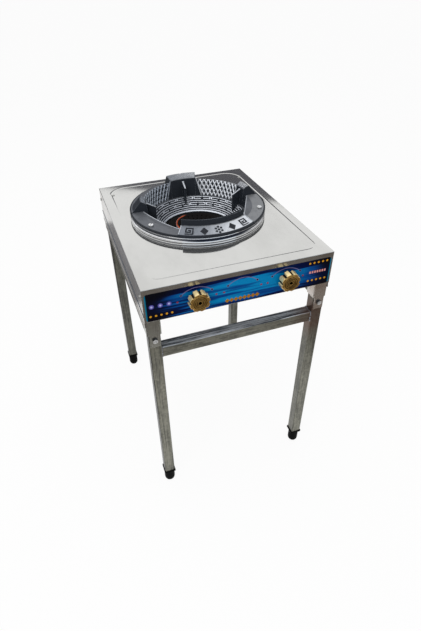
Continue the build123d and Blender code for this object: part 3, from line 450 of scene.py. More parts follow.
def printedFascia(plan):  # in mm, heights from the plate surface
    look = Look("printedFascia")
    x, _, z = look.overPlate()
    soft = plan.soft

    def disc(cx, cz, radius):
        return look.step(radius - reachOf(x - cx, z - cz), -soft, soft)

    def within(away, half):
        return look.step(abs(away), half + soft, half - soft)

    def paint(tone, masks):
        nonlocal colour
        whole = masks[0]
        for mask in masks[1:]:
            whole = whole | mask
        colour = look.mix(whole, colour, printTones[tone])

    flowTurn, rayTurn = ((0, math.radians(angle), 0) for angle in (plan.flowTurn, plan.rayTurn))
    flow = look.noise(1.0, 3.0, 0.5, scale=plan.flow, turn=flowTurn)
    rays = look.noise(1.0, 2.0, 0.5, scale=plan.rays, turn=rayTurn, shift=(2.3, 0, 0.7))
    streak = look.step(flow * 0.6 + rays * 0.4, *plan.streaks)
    middle = look.step(abs(x - plan.middle), *plan.middleHalf)
    band = look.step(abs(z - plan.band), *plan.bandHalf)  # the print is lightest along its lower middle
    glow = look.step(streak * 0.75 + middle * 0.42 + band * 0.42, 0.46, 1.26)
    glow = glow * look.step(abs(x), *plan.glow)
    colour = look.mix(look.step(middle + band * 0.3, 0.08, 0.75), printTones.night, printTones.navy)
    paint("blue", [look.step(glow, 0.0, 0.55)])
    paint("cyan", [look.step(glow, 0.45, 1.0) * middle])
    arcs, eyes = [], []
    endZ = plan.arcCentre + math.sqrt(plan.arcRadius ** 2 - plan.arcHalf ** 2)
    for cx in plan.arcs:
        away = abs(reachOf(x - cx, z - plan.arcCentre) - plan.arcRadius)
        ends = look.step(abs(x - cx), plan.arcHalf, plan.arcHalf - soft)
        arcs.append(look.step(away, *plan.arcWidth) * ends * look.step(z, *plan.arcFoot))
        for side in (-1, 1):
            arcs.append(disc(cx + side * plan.arcHalf, endZ, plan.arcEnd))
            eyes.append(disc(cx + side * plan.arcHalf, endZ, plan.arcEye))
    paint("arc", arcs)
    paint("night", eyes)
    paint("amber", [disc(cx + (i - (plan.dots - 1) / 2) * gap, cz, plan.dot)
                    for cx, cz, gap in plan.dotRows for i in range(plan.dots)])
    lozenges = []
    for i in range(plan.lozenges):
        cx = (i - (plan.lozenges - 1) / 2) * plan.lozengeStep
        lozenges.append(look.step(plan.lozenge - abs(x - cx) - abs(z - plan.lozengeDrop), -soft, soft))
    paint("bronze", lozenges)
    paint("badge", [disc(cx, plan.badgeDrop, plan.badge) for cx in plan.badges])
    paint("spot", [disc(cx, plan.badgeDrop, plan.spot) for cx in plan.badges])
    paint("red", [disc(cx, plan.markDrop, plan.mark) for cx in plan.marks])
    wide, tall = plan.barHalf
    bars = [plan.barFrom + i * plan.barStep for i in range(plan.bars)]
    paint("pink", [within(x - cx, wide) * within(z - plan.barDrop, tall) for cx in bars])
    paint("edge", [look.step(abs(x), *plan.edge)])
    return look.done(colour, look.noise(30.0, 3.0, 0.6), plan, specular=0.04)


plain = {name: cloudy(name, plan) for name, plan in plainFinishes.items()}
casts = {name: castIron(name, plan) for name, plan in castTones.items()}
finishes = {  # by material slot
    "polished_steel": polishedPlate(plateFinish),
    "stainless_sheet": stainlessSheet("stainlessSheet", sheetFinish),
    "printed_fascia": printedFascia(printPlan), "zinc_steel": plain["zincPlate"],
    "cast_iron": casts["castIron"], "chrome_trim": chromeTrim(chromeFinish),
    "burner_iron": plain["burnerIron"], "copper_burner": copperBurner(copperFinish),
    "gas_pipe": plain["pipeSteel"], "copper_pipe": plain["copperPipe"], "brass": plain["machinedBrass"],
    "gold_knob": goldKnob(knobFinish), "black_plastic": plain["blackPlastic"],
}
alongX, alongY, alongZ = (9, 260, 260), (260, 9, 260), (260, 260, 9)  # drawing lines of a tube
barLow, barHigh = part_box("front_crossbar")
barMiddle = middleOf(barLow, barHigh)[2]
barEnd = barHigh.x
byEnding = {  # by the last word of a node's name, before its slot
    "leg": galvanisedTube("galvanisedLeg", alongZ, (2, barMiddle, 0.085, 0.02), flank=True),
    "crossbar": galvanisedTube("galvanisedCrossbar", alongX, (0, 0, barEnd - 0.06, barEnd), cool=True),
    "rail": galvanisedTube("galvanisedRail", alongY), "bar": galvanisedTube("galvanisedStrip", alongX),
    "socket": stainlessSheet("stainlessSocket", socketFinish),
    "screw": plain["blackScrew"], "bolts": plain["darkBolt"],
}

for part in frame["record"]["subparts"]:
    data = nodes[part["node"]].data
    data.materials.clear()
    data.materials.append(byEnding.get(part["node"].split("_")[-1], finishes.get(part["material_slot"])))


# mesh helpers
smoothAngle = math.radians(38)
tiny = 0.01 * mm
sink = 0.4  # mm that a relief reaches into the casting
spinStep = 2.5  # degrees
rodSides = 8
threeSided = (1.5, 0.866)  # height and half width of a triangle in a circle of radius 1


def asObject(name, bm, finish):
    data = bpy.data.meshes.new(name)
    bm.to_mesh(data)
    bm.free()
    data.materials.append(finish)
    thing = bpy.data.objects.new(name, data)
    bpy.context.scene.collection.objects.link(thing)
    return thing


def piece(name, bm, finish, body="stove", smooth=False):
    bmesh.ops.recalc_face_normals(bm, faces=bm.faces)
    thing = asObject(name, bm, finish)
    for face in thing.data.polygons:
        face.use_smooth = smooth
    if smooth:
        thing.data.set_sharp_from_angle(angle=smoothAngle)
    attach(thing, body)
    return thing


def only(kind, geom):
    return [part for part in geom if isinstance(part, kind)]


def edgesOf(verts):
    return list({edge for vert in verts for edge in vert.link_edges})


def turned(angle, axis="Z"):  # degrees
    return Matrix.Rotation(math.radians(angle), 4, axis)


def wholeTurn(bm, spots, axis, steps, closed=False):  # spins a line of points all the way round
    chain = [bm.verts.new(spot) for spot in spots]
    pairs = zip(chain[-1:] + chain, chain) if closed else zip(chain, chain[1:])
    edges = [bm.edges.new(pair) for pair in pairs]
    bmesh.ops.spin(
        bm, geom=chain + edges, cent=(0, 0, 0), axis=axis, dvec=(0, 0, 0), angle=2 * math.pi, steps=steps,
        use_merge=True)


def prism(bm, corners, radius, depth, matrix, taper=1.0):
    bmesh.ops.create_cone(
        bm, cap_ends=True, segments=corners, radius1=radius, radius2=radius * taper, depth=depth,
        matrix=matrix)


# cast ring helpers, in mm from the ring's axis and the plate surface
def slope(low, high):  # a cone of the ring between two (radius, height) points
    run = (high[0] - low[0], high[1] - low[1])
    return Plan(low=low, run=run, length=math.hypot(*run))


def onSlope(cone, along, out, side):  # side turns the normal to the bowl or away
    share, lift = along / cone.length, out * side / cone.length
    return (cone.low[0] + cone.run[0] * share - cone.run[1] * lift,
            cone.low[1] + cone.run[1] * share + cone.run[0] * lift)


def strip(cone, low, high, out, side=1, draft=0.35):  # section of a raised strip along a slope
    return [onSlope(cone, low, -sink, side), onSlope(cone, high, -sink, side),
            onSlope(cone, high - draft, out, side), onSlope(cone, low + draft, out, side)]


def ringPoint(spot, bearing):  # radius and height, turned to a bearing
    return turned(bearing) @ Vector((0, -spot[0] * mm, spot[1] * mm))


def turnStrip(bm, section, bearing, angle):  # spins a section part of the way round the ring
    loop = [bm.verts.new(ringPoint(spot, bearing)) for spot in section]
    face = bm.faces.new(loop)
    steps = max(1, math.ceil(angle / spinStep))
    bmesh.ops.spin(
        bm, geom=[face] + face.edges[:] + loop, cent=(0, 0, 0), axis=(0, 0, 1), dvec=(0, 0, 0),
        angle=math.radians(angle), steps=steps, use_merge=False)


def turnRing(bm, section, steps):
    wholeTurn(bm, [(0, -r * mm, h * mm) for r, h in section], (0, 0, 1), steps, closed=True)


def grip(cone, along, bearing, side):  # frame on a slope: sideways, uphill and out of the surface
    r, h = onSlope(cone, along, 0, side)
    tip = onSlope(cone, along, 1, side)
    normal = Vector((0, r - tip[0], tip[1] - h))
    uphill = Vector((0, -cone.run[0], cone.run[1])).normalized()
    return (turned(bearing) @ Matrix.Scale(mm, 4) @ Matrix.Translation((0, -r, h))
            @ Matrix((uphill.cross(normal), uphill, normal)).transposed().to_4x4())


def stud(bm, cone, along, bearing, half, out, side=1, taper=0.7, corners=4):  # half: sideways and uphill
    shape = Matrix.Translation((0, 0, (out - sink) / 2)) @ Matrix.Diagonal((*half, 1, 1))
    prism(bm, corners, 1.0, out + sink, grip(cone, along, bearing, side) @ shape, taper)


def ridge(bm, cone, along, bearing, half, out, twist):  # triangular bar; half: length and width
    tall = (out + sink) / threeSided[0]
    lying = Matrix(((0, 0, 1, 0), (1, 0, 0, 0), (0, 1, 0, out - tall), (0, 0, 0, 1)))
    shape = turned(twist) @ lying @ Matrix.Diagonal((half[1] / threeSided[1], tall, 1, 1))
    prism(bm, 3, 1.0, 2 * half[0], grip(cone, along, bearing, 1) @ shape)


def rod(bm, start, end, radius):  # a thin round bar between two points
    run = end - start
    along = run.to_track_quat("Z", "Y").to_matrix().to_4x4()
    prism(bm, rodSides, radius * mm, run.length, Matrix.Translation((start + end) / 2) @ along)


def toRing(bm):
    bmesh.ops.translate(bm, verts=bm.verts, vec=(ringX, ringY, topZ))


def relief(name, bm, cast):
    toRing(bm)
    piece(name, bm, casts[cast])


# cast ring relief
bowlCone = slope((84, -40), (113, -10))
wallCone = slope((117.5, -10), (128, 27))
rimCone = slope((158, 16), (131, 27))
fretPlan = Plan(
    rows=7, units=30, wide=1.95, bar=1.25, gap=1.0, back=0.9, hookShort=0.6, margin=0.4, relief=1.2,
    draft=0.25, around=144, lip=(0.1, 4.6), lipRelief=0.7, lipDraft=0.3)


def fretBand(plan):  # tiers of hooked key pattern between whole rings, over a plain lip
    bm = bmesh.new()
    foot = plan.lip[1] + plan.margin
    pitch = (bowlCone.length - foot) / plan.rows
    unit = 360 / plan.units
    full = unit - plan.gap
    back = full * plan.back

    def section(low, high):
        return strip(bowlCone, low, high, plan.relief, draft=plan.draft)

    for row in range(plan.rows):
        tier, kind = divmod(plan.rows - 1 - row, 3)  # from the top: hooked row, returning row, whole ring
        low = foot + pitch * (row + 0.5) - plan.wide / 2
        high = low + plan.wide
        if kind == 2 or row == 0:
            turnRing(bm, section(low, high), plan.around)
            continue
        for i in range(plan.units):
            start = (i + tier % 2 * 0.5) * unit + plan.gap / 2
            if kind == 0:
                turnStrip(bm, section(low, high), start, full)
                hook = section(low - pitch + plan.hookShort, high - plan.hookShort)
                turnStrip(bm, hook, start + i % 2 * (full - plan.bar), plan.bar)
            else:
                turnStrip(bm, section(low, high), start + i % 2 * (full - back), back)
    turnRing(bm, strip(bowlCone, *plan.lip, plan.lipRelief, draft=plan.lipDraft), plan.around)
    relief("wok_ring_fret", bm, "castRelief")


latticePlan = Plan(
    sectors=((109, 164), (196, 251)), columns=22, rows=4, radius=122.7, overlap=0.3, halfWide=2.5,
    relief=1.3, border=1.1, borderGap=0.9)
cheekPlan = Plan(
    half=15.4, flare=6.4, front=((119.5, 34.5), (116.0, -10.0)), back=((133.0, 36.0), (120.0, -10.0)))


def wallLattice(plan):  # crossed ridges
    bm = bmesh.new()
    stepUp = wallCone.length / plan.rows
    for low, high in plan.sectors:
        stepRound = (high - low) / plan.columns
        stepWide = math.radians(stepRound) * plan.radius
        lean = math.degrees(math.atan2(stepUp, stepWide))
        half = (math.hypot(stepUp, stepWide) / 2 + plan.overlap, plan.halfWide)
        for i in range(plan.columns):
            for j in range(plan.rows):
                bearing = low + (i + 0.5) * stepRound
                twist = lean if (i + j) % 2 else -lean
                ridge(bm, wallCone, (j + 0.5) * stepUp, bearing, half, plan.relief, twist)
    top, foot = cheekPlan.front
    for sign in (-1, 1):  # border along the sides of the back lug
        inner = 180 + sign * (cheekPlan.half + plan.borderGap)
        rod(bm, ringPoint(top, inner), ringPoint(foot, inner + sign * cheekPlan.flare), plan.border)
    relief("wok_ring_lattice", bm, "castLattice")


sideLug = slope((119.5, 33), (132.5, 40.5))
backLug = slope((119.5, 34.5), (140, 42))
lugPlan = Plan(  # lugs: slope, bearing, half angle
    lugs=((sideLug, -101, 7.5), (sideLug, 101, 7.5), (backLug, 180, 15.5)), radius=126, pitch=2.6,
    stud=1.15, relief=0.5)


def lugGrids(plan):
    bm = bmesh.new()
    for cone, centre, half in plan.lugs:
        across = math.radians(2 * half) * plan.radius
        wide, tall = (int(size / plan.pitch) - 1 for size in (across, cone.length))
        for i in range(wide):
            for j in range(tall):
                bearing = centre + (i - (wide - 1) / 2) * math.degrees(plan.pitch / plan.radius)
                along = cone.length / 2 + (j - (tall - 1) / 2) * plan.pitch
                stud(bm, cone, along, bearing, (plan.stud, plan.stud), plan.relief)
    relief("wok_ring_lug_grid", bm, "castLattice")


plaquePlan = Plan(foot=0.5, head=28.6, half=33.0, relief=0.25)


def rimPlaque(plan):  # a skin over the front lug's face, painted lighter where the light falls, with a painted highlight on the right
    bm = bmesh.new()
    turnStrip(bm, strip(rimCone, plan.foot, plan.head, plan.relief, side=-1), -plan.half, 2 * plan.half)
    relief("wok_ring_plaque", bm, "castLitPlaque")


motifPlan = Plan(  # lozenge, boss and petal: half sizes, relief, taper
    bearings=(-25, -12.5, 0, 12.5, 25), radius=145, centre=14.6, line=2.9, relief=1.4, draft=0.6,
    half=8.8, foot=5.6, head=24.0, join=1.6, inner=3.4, innerFoot=10.6, innerHead=18.4, tail=-3.0,
    lozenge=(((9.6, 11.0), 0.9, 0.88), ((6.0, 7.0), 1.6, 0.6)), boss=((3.4, 3.4), 1.4, 0.6),
    bossCorners=12, petals=6, petal=((3.3, 3.3), 1.1, 0.7), petalCorners=10, petalReach=(6.9, 7.4))


def rimMotifs(plan):  # square spirals, lozenges and a rosette on the front lug, painted near black as the shade along their outlines
    bm = bmesh.new()
    degree = math.degrees(1 / plan.radius)  # one millimetre around the rim
    line, half, inner, join = plan.line, plan.half, plan.inner, plan.join

    def spiral(bearing, flip):
        foot, head, innerFoot, innerHead = plan.foot, plan.head, plan.innerFoot, plan.innerHead
        lines = (
            (-half, half, foot, foot + line), (half - line, half, foot + join, head - join),
            (-half, half, head - line, head), (-half, line - half, innerFoot + join, head - join),
            (-half, inner, innerFoot, innerFoot + line),
            (inner - line, inner, innerFoot + join, innerHead - join),
            (plan.tail, inner, innerHead - line, innerHead))
        for left, right, low, high in lines:
            section = strip(rimCone, low, high, plan.relief, side=-1, draft=plan.draft)
            start = -right if flip else left
            turnStrip(bm, section, bearing + start * degree, (right - left) * degree)

    def boss(bearing, size, corners=4, above=0.0):
        halves, out, taper = size
        stud(bm, rimCone, plan.centre + above, bearing, halves, out, side=-1, taper=taper, corners=corners)

    first, second, middle, fourth, last = plan.bearings
    spiral(first, False)
    for bearing in (second, fourth):
        for size in plan.lozenge:
            boss(bearing, size)
    boss(middle, plan.boss, plan.bossCorners)
    aside, above = plan.petalReach
    for i in range(plan.petals):
        swing = 2 * math.pi * i / plan.petals
        bearing = middle + aside * math.sin(swing) * degree
        boss(bearing, plan.petal, plan.petalCorners, above * math.cos(swing))
    spiral(last, True)
    relief("wok_ring_motifs", bm, "castMotif")


def lugCheeks(plan):  # flared sides of the back lug
    bm = bmesh.new()
    for sign in (-1, 1):
        inner = 180 + sign * plan.half
        outer = inner + sign * plan.flare
        front, back = (
            [bm.verts.new(ringPoint(*spot)) for spot in ((top, inner), (foot, inner), (foot, outer))]
            for top, foot in (plan.front, plan.back))
        bm.faces.new(front)
        bm.faces.new(back[::-1])
        for i in range(3):
            bm.faces.new((front[i], front[i - 1], back[i - 1], back[i]))
    relief("wok_ring_lug_cheeks", bm, "castIron")


edgePlan = Plan(
    centres=(-63.5, 63.5), chord=111.0, outer=128.0, height=16.0, fall=0.28, steps=14, wide=2.0,
    relief=0.7, backRelief=0.2, short=1.0, fins=(-101, 101, 180), fin=slope((97, 18), (119.5, 29)),
    finHalf=0.85, finRelief=0.35, finEnds=(0.2, 0.5), finTip=(5.2, 1.6), finTipAt=2.2, finTipRelief=0.7,
    finTipTaper=0.8)
lugTop = slope((118, 35.5), (129, 40))
lugEdges = (  # the front lug: section, bearing, angle
    (strip(rimCone, 3.0, 28.9, 0.9, side=-1), -33.6, 0.6),
    (strip(rimCone, 3.0, 28.9, 0.9, side=-1), 33.0, 0.6),
    (strip(lugTop, 0.2, 1.1, 0.3), -33.3, 66.6),
)


def ringEdges(plan):  # painted highlights along edges: gap shelves, front lug, tops of the fins
    bm = bmesh.new()
    steps = plan.steps
    reach = math.sqrt(plan.outer ** 2 - plan.chord ** 2) - plan.short

    def shelf(i):  # a point of the shelf edge in the turned frame
        along = reach * (2 * i / steps - 1)
        fall = plan.fall * (plan.outer - math.hypot(plan.chord, along))
        return Vector((along, -plan.chord, plan.height - fall))

    section = ((0, -sink), (-plan.wide, -sink), (-plan.wide, plan.backRelief), (0, plan.relief))
    for centre in plan.centres:
        spots = [turned(centre) @ ((shelf(0) + Vector((0, *off))) * mm) for off in section]
        face = bm.faces.new([bm.verts.new(spot) for spot in spots])
        for i in range(steps):
            grown = bmesh.ops.extrude_face_region(bm, geom=[face])["geom"]
            move = turned(centre) @ ((shelf(i + 1) - shelf(i)) * mm)
            bmesh.ops.translate(bm, verts=only(BMVert, grown), vec=move)
            if i:
                bmesh.ops.delete(bm, geom=[face], context="FACES_ONLY")
            face = only(BMFace, grown)[0]
    for section, bearing, angle in lugEdges:
        turnStrip(bm, section, bearing, angle)
    fin, half = plan.fin, plan.finHalf
    foot, head = plan.finEnds
    for bearing in plan.fins:
        turnStrip(bm, strip(fin, foot, fin.length - head, plan.finRelief), bearing - half, 2 * half)
        tip = fin.length - plan.finTipAt
        stud(bm, fin, tip, bearing, plan.finTip, plan.finTipRelief, taper=plan.finTipTaper)
    relief("wok_ring_edge_highlights", bm, "castEdgeHighlight")


fretBand(fretPlan)
wallLattice(latticePlan)
lugGrids(lugPlan)
rimPlaque(plaquePlan)
rimMotifs(motifPlan)
lugCheeks(cheekPlan)
ringEdges(edgePlan)
print("ring relief: fret band, lattice, lug grids, plaque, motifs, cheeks and edges")

trimPlan = Plan(  # outline: radius and height, from the plate up
    inner=138.0, sheet=1.2, fold=1.5, top=12.0, around=192, outline=(
        (153.0, 0.0), (156.4, 0.15), (157.6, 0.8), (158.0, 2.1), (157.9, 3.2), (157.4, 4.2), (156.4, 4.9),
        (155.5, 5.2), (155.1, 5.5), (155.0, 6.0), (155.0, 7.6), (155.0, 9.2), (155.2, 9.8), (155.6, 10.2),
        (156.6, 10.4), (157.6, 10.6), (158.0, 11.1), (157.7, 11.7), (156.6, 12.0)))


def trimRing(plan):  # rolled chrome band: a full bead below, a neck and a lip
    bm = bmesh.new()
    inner, sheet, top = plan.inner, plan.sheet, plan.top
    inside = [(r - plan.fold, min(max(h, sheet), top - sheet)) for r, h in plan.outline]
    upper = ((inner, top), (inner, top - sheet))
    turnRing(bm, [(inner, 0.0), *plan.outline, *upper, *inside[::-1], (inner, sheet)], plan.around)
    bmesh.ops.remove_doubles(bm, verts=bm.verts, dist=tiny)
    toRing(bm)
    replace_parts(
        piece("trim_ring_band", bm, finishes["chrome_trim"], smooth=True), "trim_ring")


trimRing(trimPlan)

platePlan = Plan(
    side=22.25, front=24.25, rear=18.25, frontRadius=22.75, rearRadius=42.75, wide=8.0, height=0.34,
    steep=1.2, across=12, turn=16, hole=134.0, around=128, sheet=1.2, fold=0.8, flat=0.99999)


def plateSheet(plan):  # pressed sheet with a soft bead and folded edges
    low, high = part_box("top_plate")
    west, east = low.x + plan.side * mm, high.x - plan.side * mm
    south, north = low.y + plan.front * mm, high.y - plan.rear * mm
    front, rear = plan.frontRadius * mm, plan.rearRadius * mm
    bm = bmesh.new()
    section = []
    for i in range(plan.across + 1):
        share = 2 * i / plan.across - 1
        rise = plan.height * (1 + math.cos(math.pi * min(1, abs(share) * plan.steep))) / 2
        section.append(bm.verts.new((west + front, south + share * plan.wide / 2 * mm, topZ + rise * mm)))
    chain = [bm.edges.new(pair) for pair in zip(section, section[1:])]

    def run(chain, vec):
        grown = bmesh.ops.extrude_edge_only(bm, edges=chain)["geom"]
        moved = only(BMVert, grown)
        bmesh.ops.translate(bm, verts=moved, vec=vec)
        return [edge for edge in only(BMEdge, grown) if all(vert in moved for vert in edge.verts)]

    def bend(chain, cent):
        verts = list({vert for edge in chain for vert in edge.verts})
        last = bmesh.ops.spin(
            bm, geom=verts + chain, cent=cent, axis=(0, 0, 1), dvec=(0, 0, 0), angle=math.pi / 2,
            steps=plan.turn, use_merge=False)["geom_last"]
        return only(BMEdge, last)

    chain = bend(run(chain, (east - west - 2 * front, 0, 0)), (east - front, south + front, 0))
    chain = bend(run(chain, (0, north - south - front - rear, 0)), (east - rear, north - rear, 0))
    chain = bend(run(chain, (west - east + 2 * rear, 0, 0)), (west + rear, north - rear, 0))
    bend(run(chain, (0, south - north + front + rear, 0)), (west + front, south + front, 0))
    bmesh.ops.remove_doubles(bm, verts=bm.verts, dist=tiny)
    middle = Vector(((west + east) / 2, (south + north) / 2, topZ))

    def isOuter(edge):  # the bead's face lies nearer to the middle than its outer rim
        face = edge.link_faces[0].calc_center_median()
        return (sum((vert.co for vert in edge.verts), Vector()) / 2 - face).dot(face - middle) > 0

    rims = [edge for edge in bm.edges if len(edge.link_faces) == 1]
    outer = [edge for edge in rims if isOuter(edge)]
    inner = [edge for edge in rims if edge not in outer]
    around = ((low.x, low.y), (high.x, low.y), (high.x, high.y), (low.x, high.y))
    corners = [bm.verts.new((*corner, topZ)) for corner in around]
    border = [bm.edges.new((corners[i - 1], corners[i])) for i in range(4)]
    hole = bmesh.ops.create_circle(
        bm, cap_ends=False, segments=plan.around, radius=plan.hole * mm,
        matrix=Matrix.Translation((ringX, ringY, topZ)))["verts"]
    for edges in (outer + border, inner + edgesOf(hole)):
        bmesh.ops.triangle_fill(bm, edges=edges, use_beauty=True, normal=(0, 0, 1))
    bmesh.ops.recalc_face_normals(bm, faces=bm.faces)
    if bm.faces[0].normal.z < 0:
        bmesh.ops.reverse_faces(bm, faces=bm.faces)
    bmesh.ops.solidify(bm, geom=bm.faces[:], thickness=plan.sheet * mm)

    def liesAt(edge, away):  # a distance is nothing at both ends of the edge
        return all(away(vert.co) < tiny for vert in edge.verts)

    top = [edge for edge in bm.edges if liesAt(edge, lambda co: abs(co.z - topZ))]
    fold = [edge for edge in top if liesAt(edge, lambda co: abs(abs(co.x) - high.x))
            or liesAt(edge, lambda co: min(abs(co.y - low.y), abs(co.y - high.y)))]
    bmesh.ops.bevel(
        bm, geom=fold, offset=plan.fold * mm, affect="EDGES", segments=4, profile=0.5, material=-1)
    sheet = piece("top_plate_sheet", bm, finishes["polished_steel"], smooth=True)
    for face in sheet.data.polygons:  # flat shading keeps the level parts level
        face.use_smooth = abs(face.normal.z) < plan.flat
    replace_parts(sheet, "top_plate")


plateSheet(platePlan)

hemPlan = Plan(tall=5.5, proud=0.6, bevel=0.25, at=0.0)  # at: height over the panel's lower edge
# a proud strip painted dark blue as a shade line along the side panel
shadeLinePlan = Plan(tall=3.4, proud=0.7, bevel=0.45, at=24.5)


def panelFold(name, side, plan, finish):  # a proud strip along a side panel
    low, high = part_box(side + "_side_panel")
    outer = high.x if side == "right" else low.x
    bm = bmesh.new()
    bmesh.ops.create_cube(bm, size=1.0)
    bmesh.ops.scale(bm, verts=bm.verts, vec=(2 * plan.proud * mm, high.y - low.y, plan.tall * mm))
    middle = (outer, (low.y + high.y) / 2, low.z + (plan.at + plan.tall / 2) * mm)
    bmesh.ops.translate(bm, verts=bm.verts, vec=middle)
    bmesh.ops.bevel(
        bm, geom=bm.edges[:], offset=plan.bevel * mm, affect="EDGES", segments=2, profile=0.5, material=-1)
    piece(side + name, bm, finish)


for side in ("left", "right"):
    panelFold("_panel_hem", side, hemPlan, finishes["stainless_sheet"])
    panelFold("_panel_shade_line", side, shadeLinePlan, plain["shadeLineSteel"])

knobPlan = Plan(  # outline: depth from the back, or below 0 from the face, and inset
    face=20.4, back=21.4, lobes=8, notch=4.2, shallow=2.1, deep=3.4, turned=28.0, around=160,
    hollow=12.9, hollowTo=9.0, outline=((0.3, 0.6), (0.9, 0.0), (-1.5, 0.0), (-0.8, 0.4), (-0.4, 1.2)),
    disc=15.8, step=0.4, rim=0.3, grooves=(13.0, 9.6, 6.4), groove=0.8, grooveFloor=0.4, grooveDeep=0.8,
    pocket=3.6, pocketDeep=3.4, pocketRim=0.5)


def lobeRadius(plan, angle, inset, share):  # outline of the knob, share 0 at the face and 1 at the back
    pitch = 2 * math.pi / plan.lobes
    off = ((angle - math.radians(plan.turned)) / pitch) % 1 * pitch - pitch / 2
    radius = plan.face + (plan.back - plan.face) * share - inset
    notch = plan.notch + inset
    centre = radius + notch - (plan.shallow + (plan.deep - plan.shallow) * share)
    reach = centre * math.sin(abs(off))
    if reach < notch:
        radius = min(radius, centre * math.cos(off) - math.sqrt(notch ** 2 - reach ** 2))
    return radius


def knobPiece(side, plan):
    low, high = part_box(side + "_knob")
    middleX, _, middleZ = middleOf(low, high)
    bm = bmesh.new()

    def ring(depth, radiusOf, cap=False):  # a closed outline facing the cook, its radius by the angle
        made = bmesh.ops.create_circle(
            bm, cap_ends=cap, segments=plan.around, radius=1.0, matrix=turned(90, "X"))["verts"]
        for vert in made:
            vert.co *= radiusOf(math.atan2(vert.co.x, vert.co.z)) * mm
            vert.co.y = depth
        return edgesOf(made)

    hollowTo = low.y + plan.hollowTo * mm
    loops = [ring(hollowTo, lambda a: plan.hollow, True), ring(high.y, lambda a: plan.hollow)]
    for depth, inset in plan.outline:
        place = high.y - depth * mm if depth > 0 else low.y - depth * mm
        share = (place - low.y) / (high.y - low.y)
        loops.append(ring(place, lambda a: lobeRadius(plan, a, inset, share)))
    loops.append(ring(low.y + plan.step * mm, lambda a: plan.disc))
    for first, second in zip(loops, loops[1:]):
        bmesh.ops.bridge_loops(bm, edges=first + second)
    half, floor, deep = plan.groove, plan.groove * plan.grooveFloor, plan.grooveDeep
    rim, pocket, pocketRim = plan.rim, plan.pocket, plan.pocketRim
    disc = [(plan.disc, plan.step), (plan.disc, rim), (plan.disc - rim, 0.0)]
    for groove in plan.grooves:
        disc += [(groove + half, 0.0), (groove + floor, deep), (groove - floor, deep), (groove - half, 0.0)]
    disc += [(pocket + pocketRim, 0.0), (pocket, pocketRim)]
    disc += [(pocket, plan.pocketDeep), (0.0, plan.pocketDeep)]
    wholeTurn(bm, [(r * mm, low.y + depth * mm, 0) for r, depth in disc], (0, 1, 0), plan.around)
    bmesh.ops.remove_doubles(bm, verts=bm.verts, dist=tiny / 2)
    bmesh.ops.translate(bm, verts=bm.verts, vec=(middleX, 0, middleZ))
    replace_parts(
        piece(side + "_knob_dressed", bm, finishes["gold_knob"], side + "_control"),
        side + "_knob")


for side in ("left", "right"):
    knobPiece(side, knobPlan)
print("trim band, plate sheet, panel folds and knobs")

weldPlan = Plan(
    blob=2.3, blobs=8, sizes=(0.75, 1.1), inward=(0.0, 0.6), stray=(-0.4, 0.4), squash=(1.0, 0.85, 0.75),
    seed=4)


def crossbarWelds(bar, plan):  # run of weld over the top and down the outer face, at both ends
    low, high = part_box(bar)
    chance = random.Random(plan.seed)
    outer, inner = (low.y, high.y) if low.y < 0 else (high.y, low.y)
    bm = bmesh.new()
    for x in (low.x, high.x):
        inward = -1.0 if x > 0 else 1.0
        for i in range(plan.blobs):
            share = (i + 0.5) / plan.blobs
            across, down = inner + (outer - inner) * share, low.z + (high.z - low.z) * share
            for y, z in ((across, high.z), (outer, down)):
                size = plan.blob * mm * chance.uniform(*plan.sizes)
                inset = inward * chance.uniform(*plan.inward)
                off = Vector((inset, chance.uniform(*plan.stray), chance.uniform(*plan.stray)))
                place = Matrix.Translation(Vector((x, y, z)) + off * mm)
                bmesh.ops.create_icosphere(
                    bm, subdivisions=2, radius=size, matrix=place @ Matrix.Diagonal((*plan.squash, 1)))
    piece(bar + "_welds", bm, plain["weldBead"], smooth=True)


crossbarWelds("front_crossbar", weldPlan)
crossbarWelds("rear_crossbar", weldPlan)

slotPlan = Plan(
    radius=5.6, slot=1.5, rise=1.1, seat=0.3, bearings=(-62.5, 62.5, 180), circle=144.5, turned=35)
headPlan = Plan(radius=3.8, seat=1.0, slot=1.1, turned=(20, -35, 65, 10))
screwSides, screwCrown = 28, 0.12  # the crown is this share narrower than the seat


def slottedTop(bm, plan, rise, matrix):  # two half discs with a driver slot between them, along +Z
    for sign in (-1, 1):
        disc = bmesh.ops.create_circle(
            bm, cap_ends=True, segments=screwSides, radius=plan.radius * mm)["verts"]
        parts = disc + edgesOf(disc) + list({face for vert in disc for face in vert.link_faces})
        kept = bmesh.ops.bisect_plane(
            bm, geom=parts, plane_co=(sign * plan.slot / 2 * mm, 0, 0), plane_no=(sign, 0, 0),
            clear_inner=True)["geom"]
        seat = only(BMFace, kept)
        top = only(BMVert, bmesh.ops.extrude_face_region(bm, geom=seat)["geom"])
        middle = sum((vert.co for vert in top), Vector()) / len(top)
        bmesh.ops.translate(bm, verts=top, vec=(0, 0, rise * mm))
        for vert in top:
            vert.co.x += (middle.x - vert.co.x) * screwCrown
            vert.co.y *= 1 - screwCrown
        verts = list({vert for face in seat for vert in face.verts} | set(top))
        bmesh.ops.transform(bm, matrix=matrix, verts=verts)


def ringScrewSlots(plan):  # slotted tops of the three ring screws
    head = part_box("ring_screws")[1].z - plan.seat * mm
    bm = bmesh.new()
    for bearing in plan.bearings:
        spot = turned(bearing) @ Vector((0, -plan.circle * mm, 0)) + Vector((ringX, ringY, head))
        slottedTop(bm, plan, plan.rise, Matrix.Translation(spot) @ turned(bearing) @ turned(plan.turned))
    piece("ring_screw_slots", bm, plain["brightZinc"])


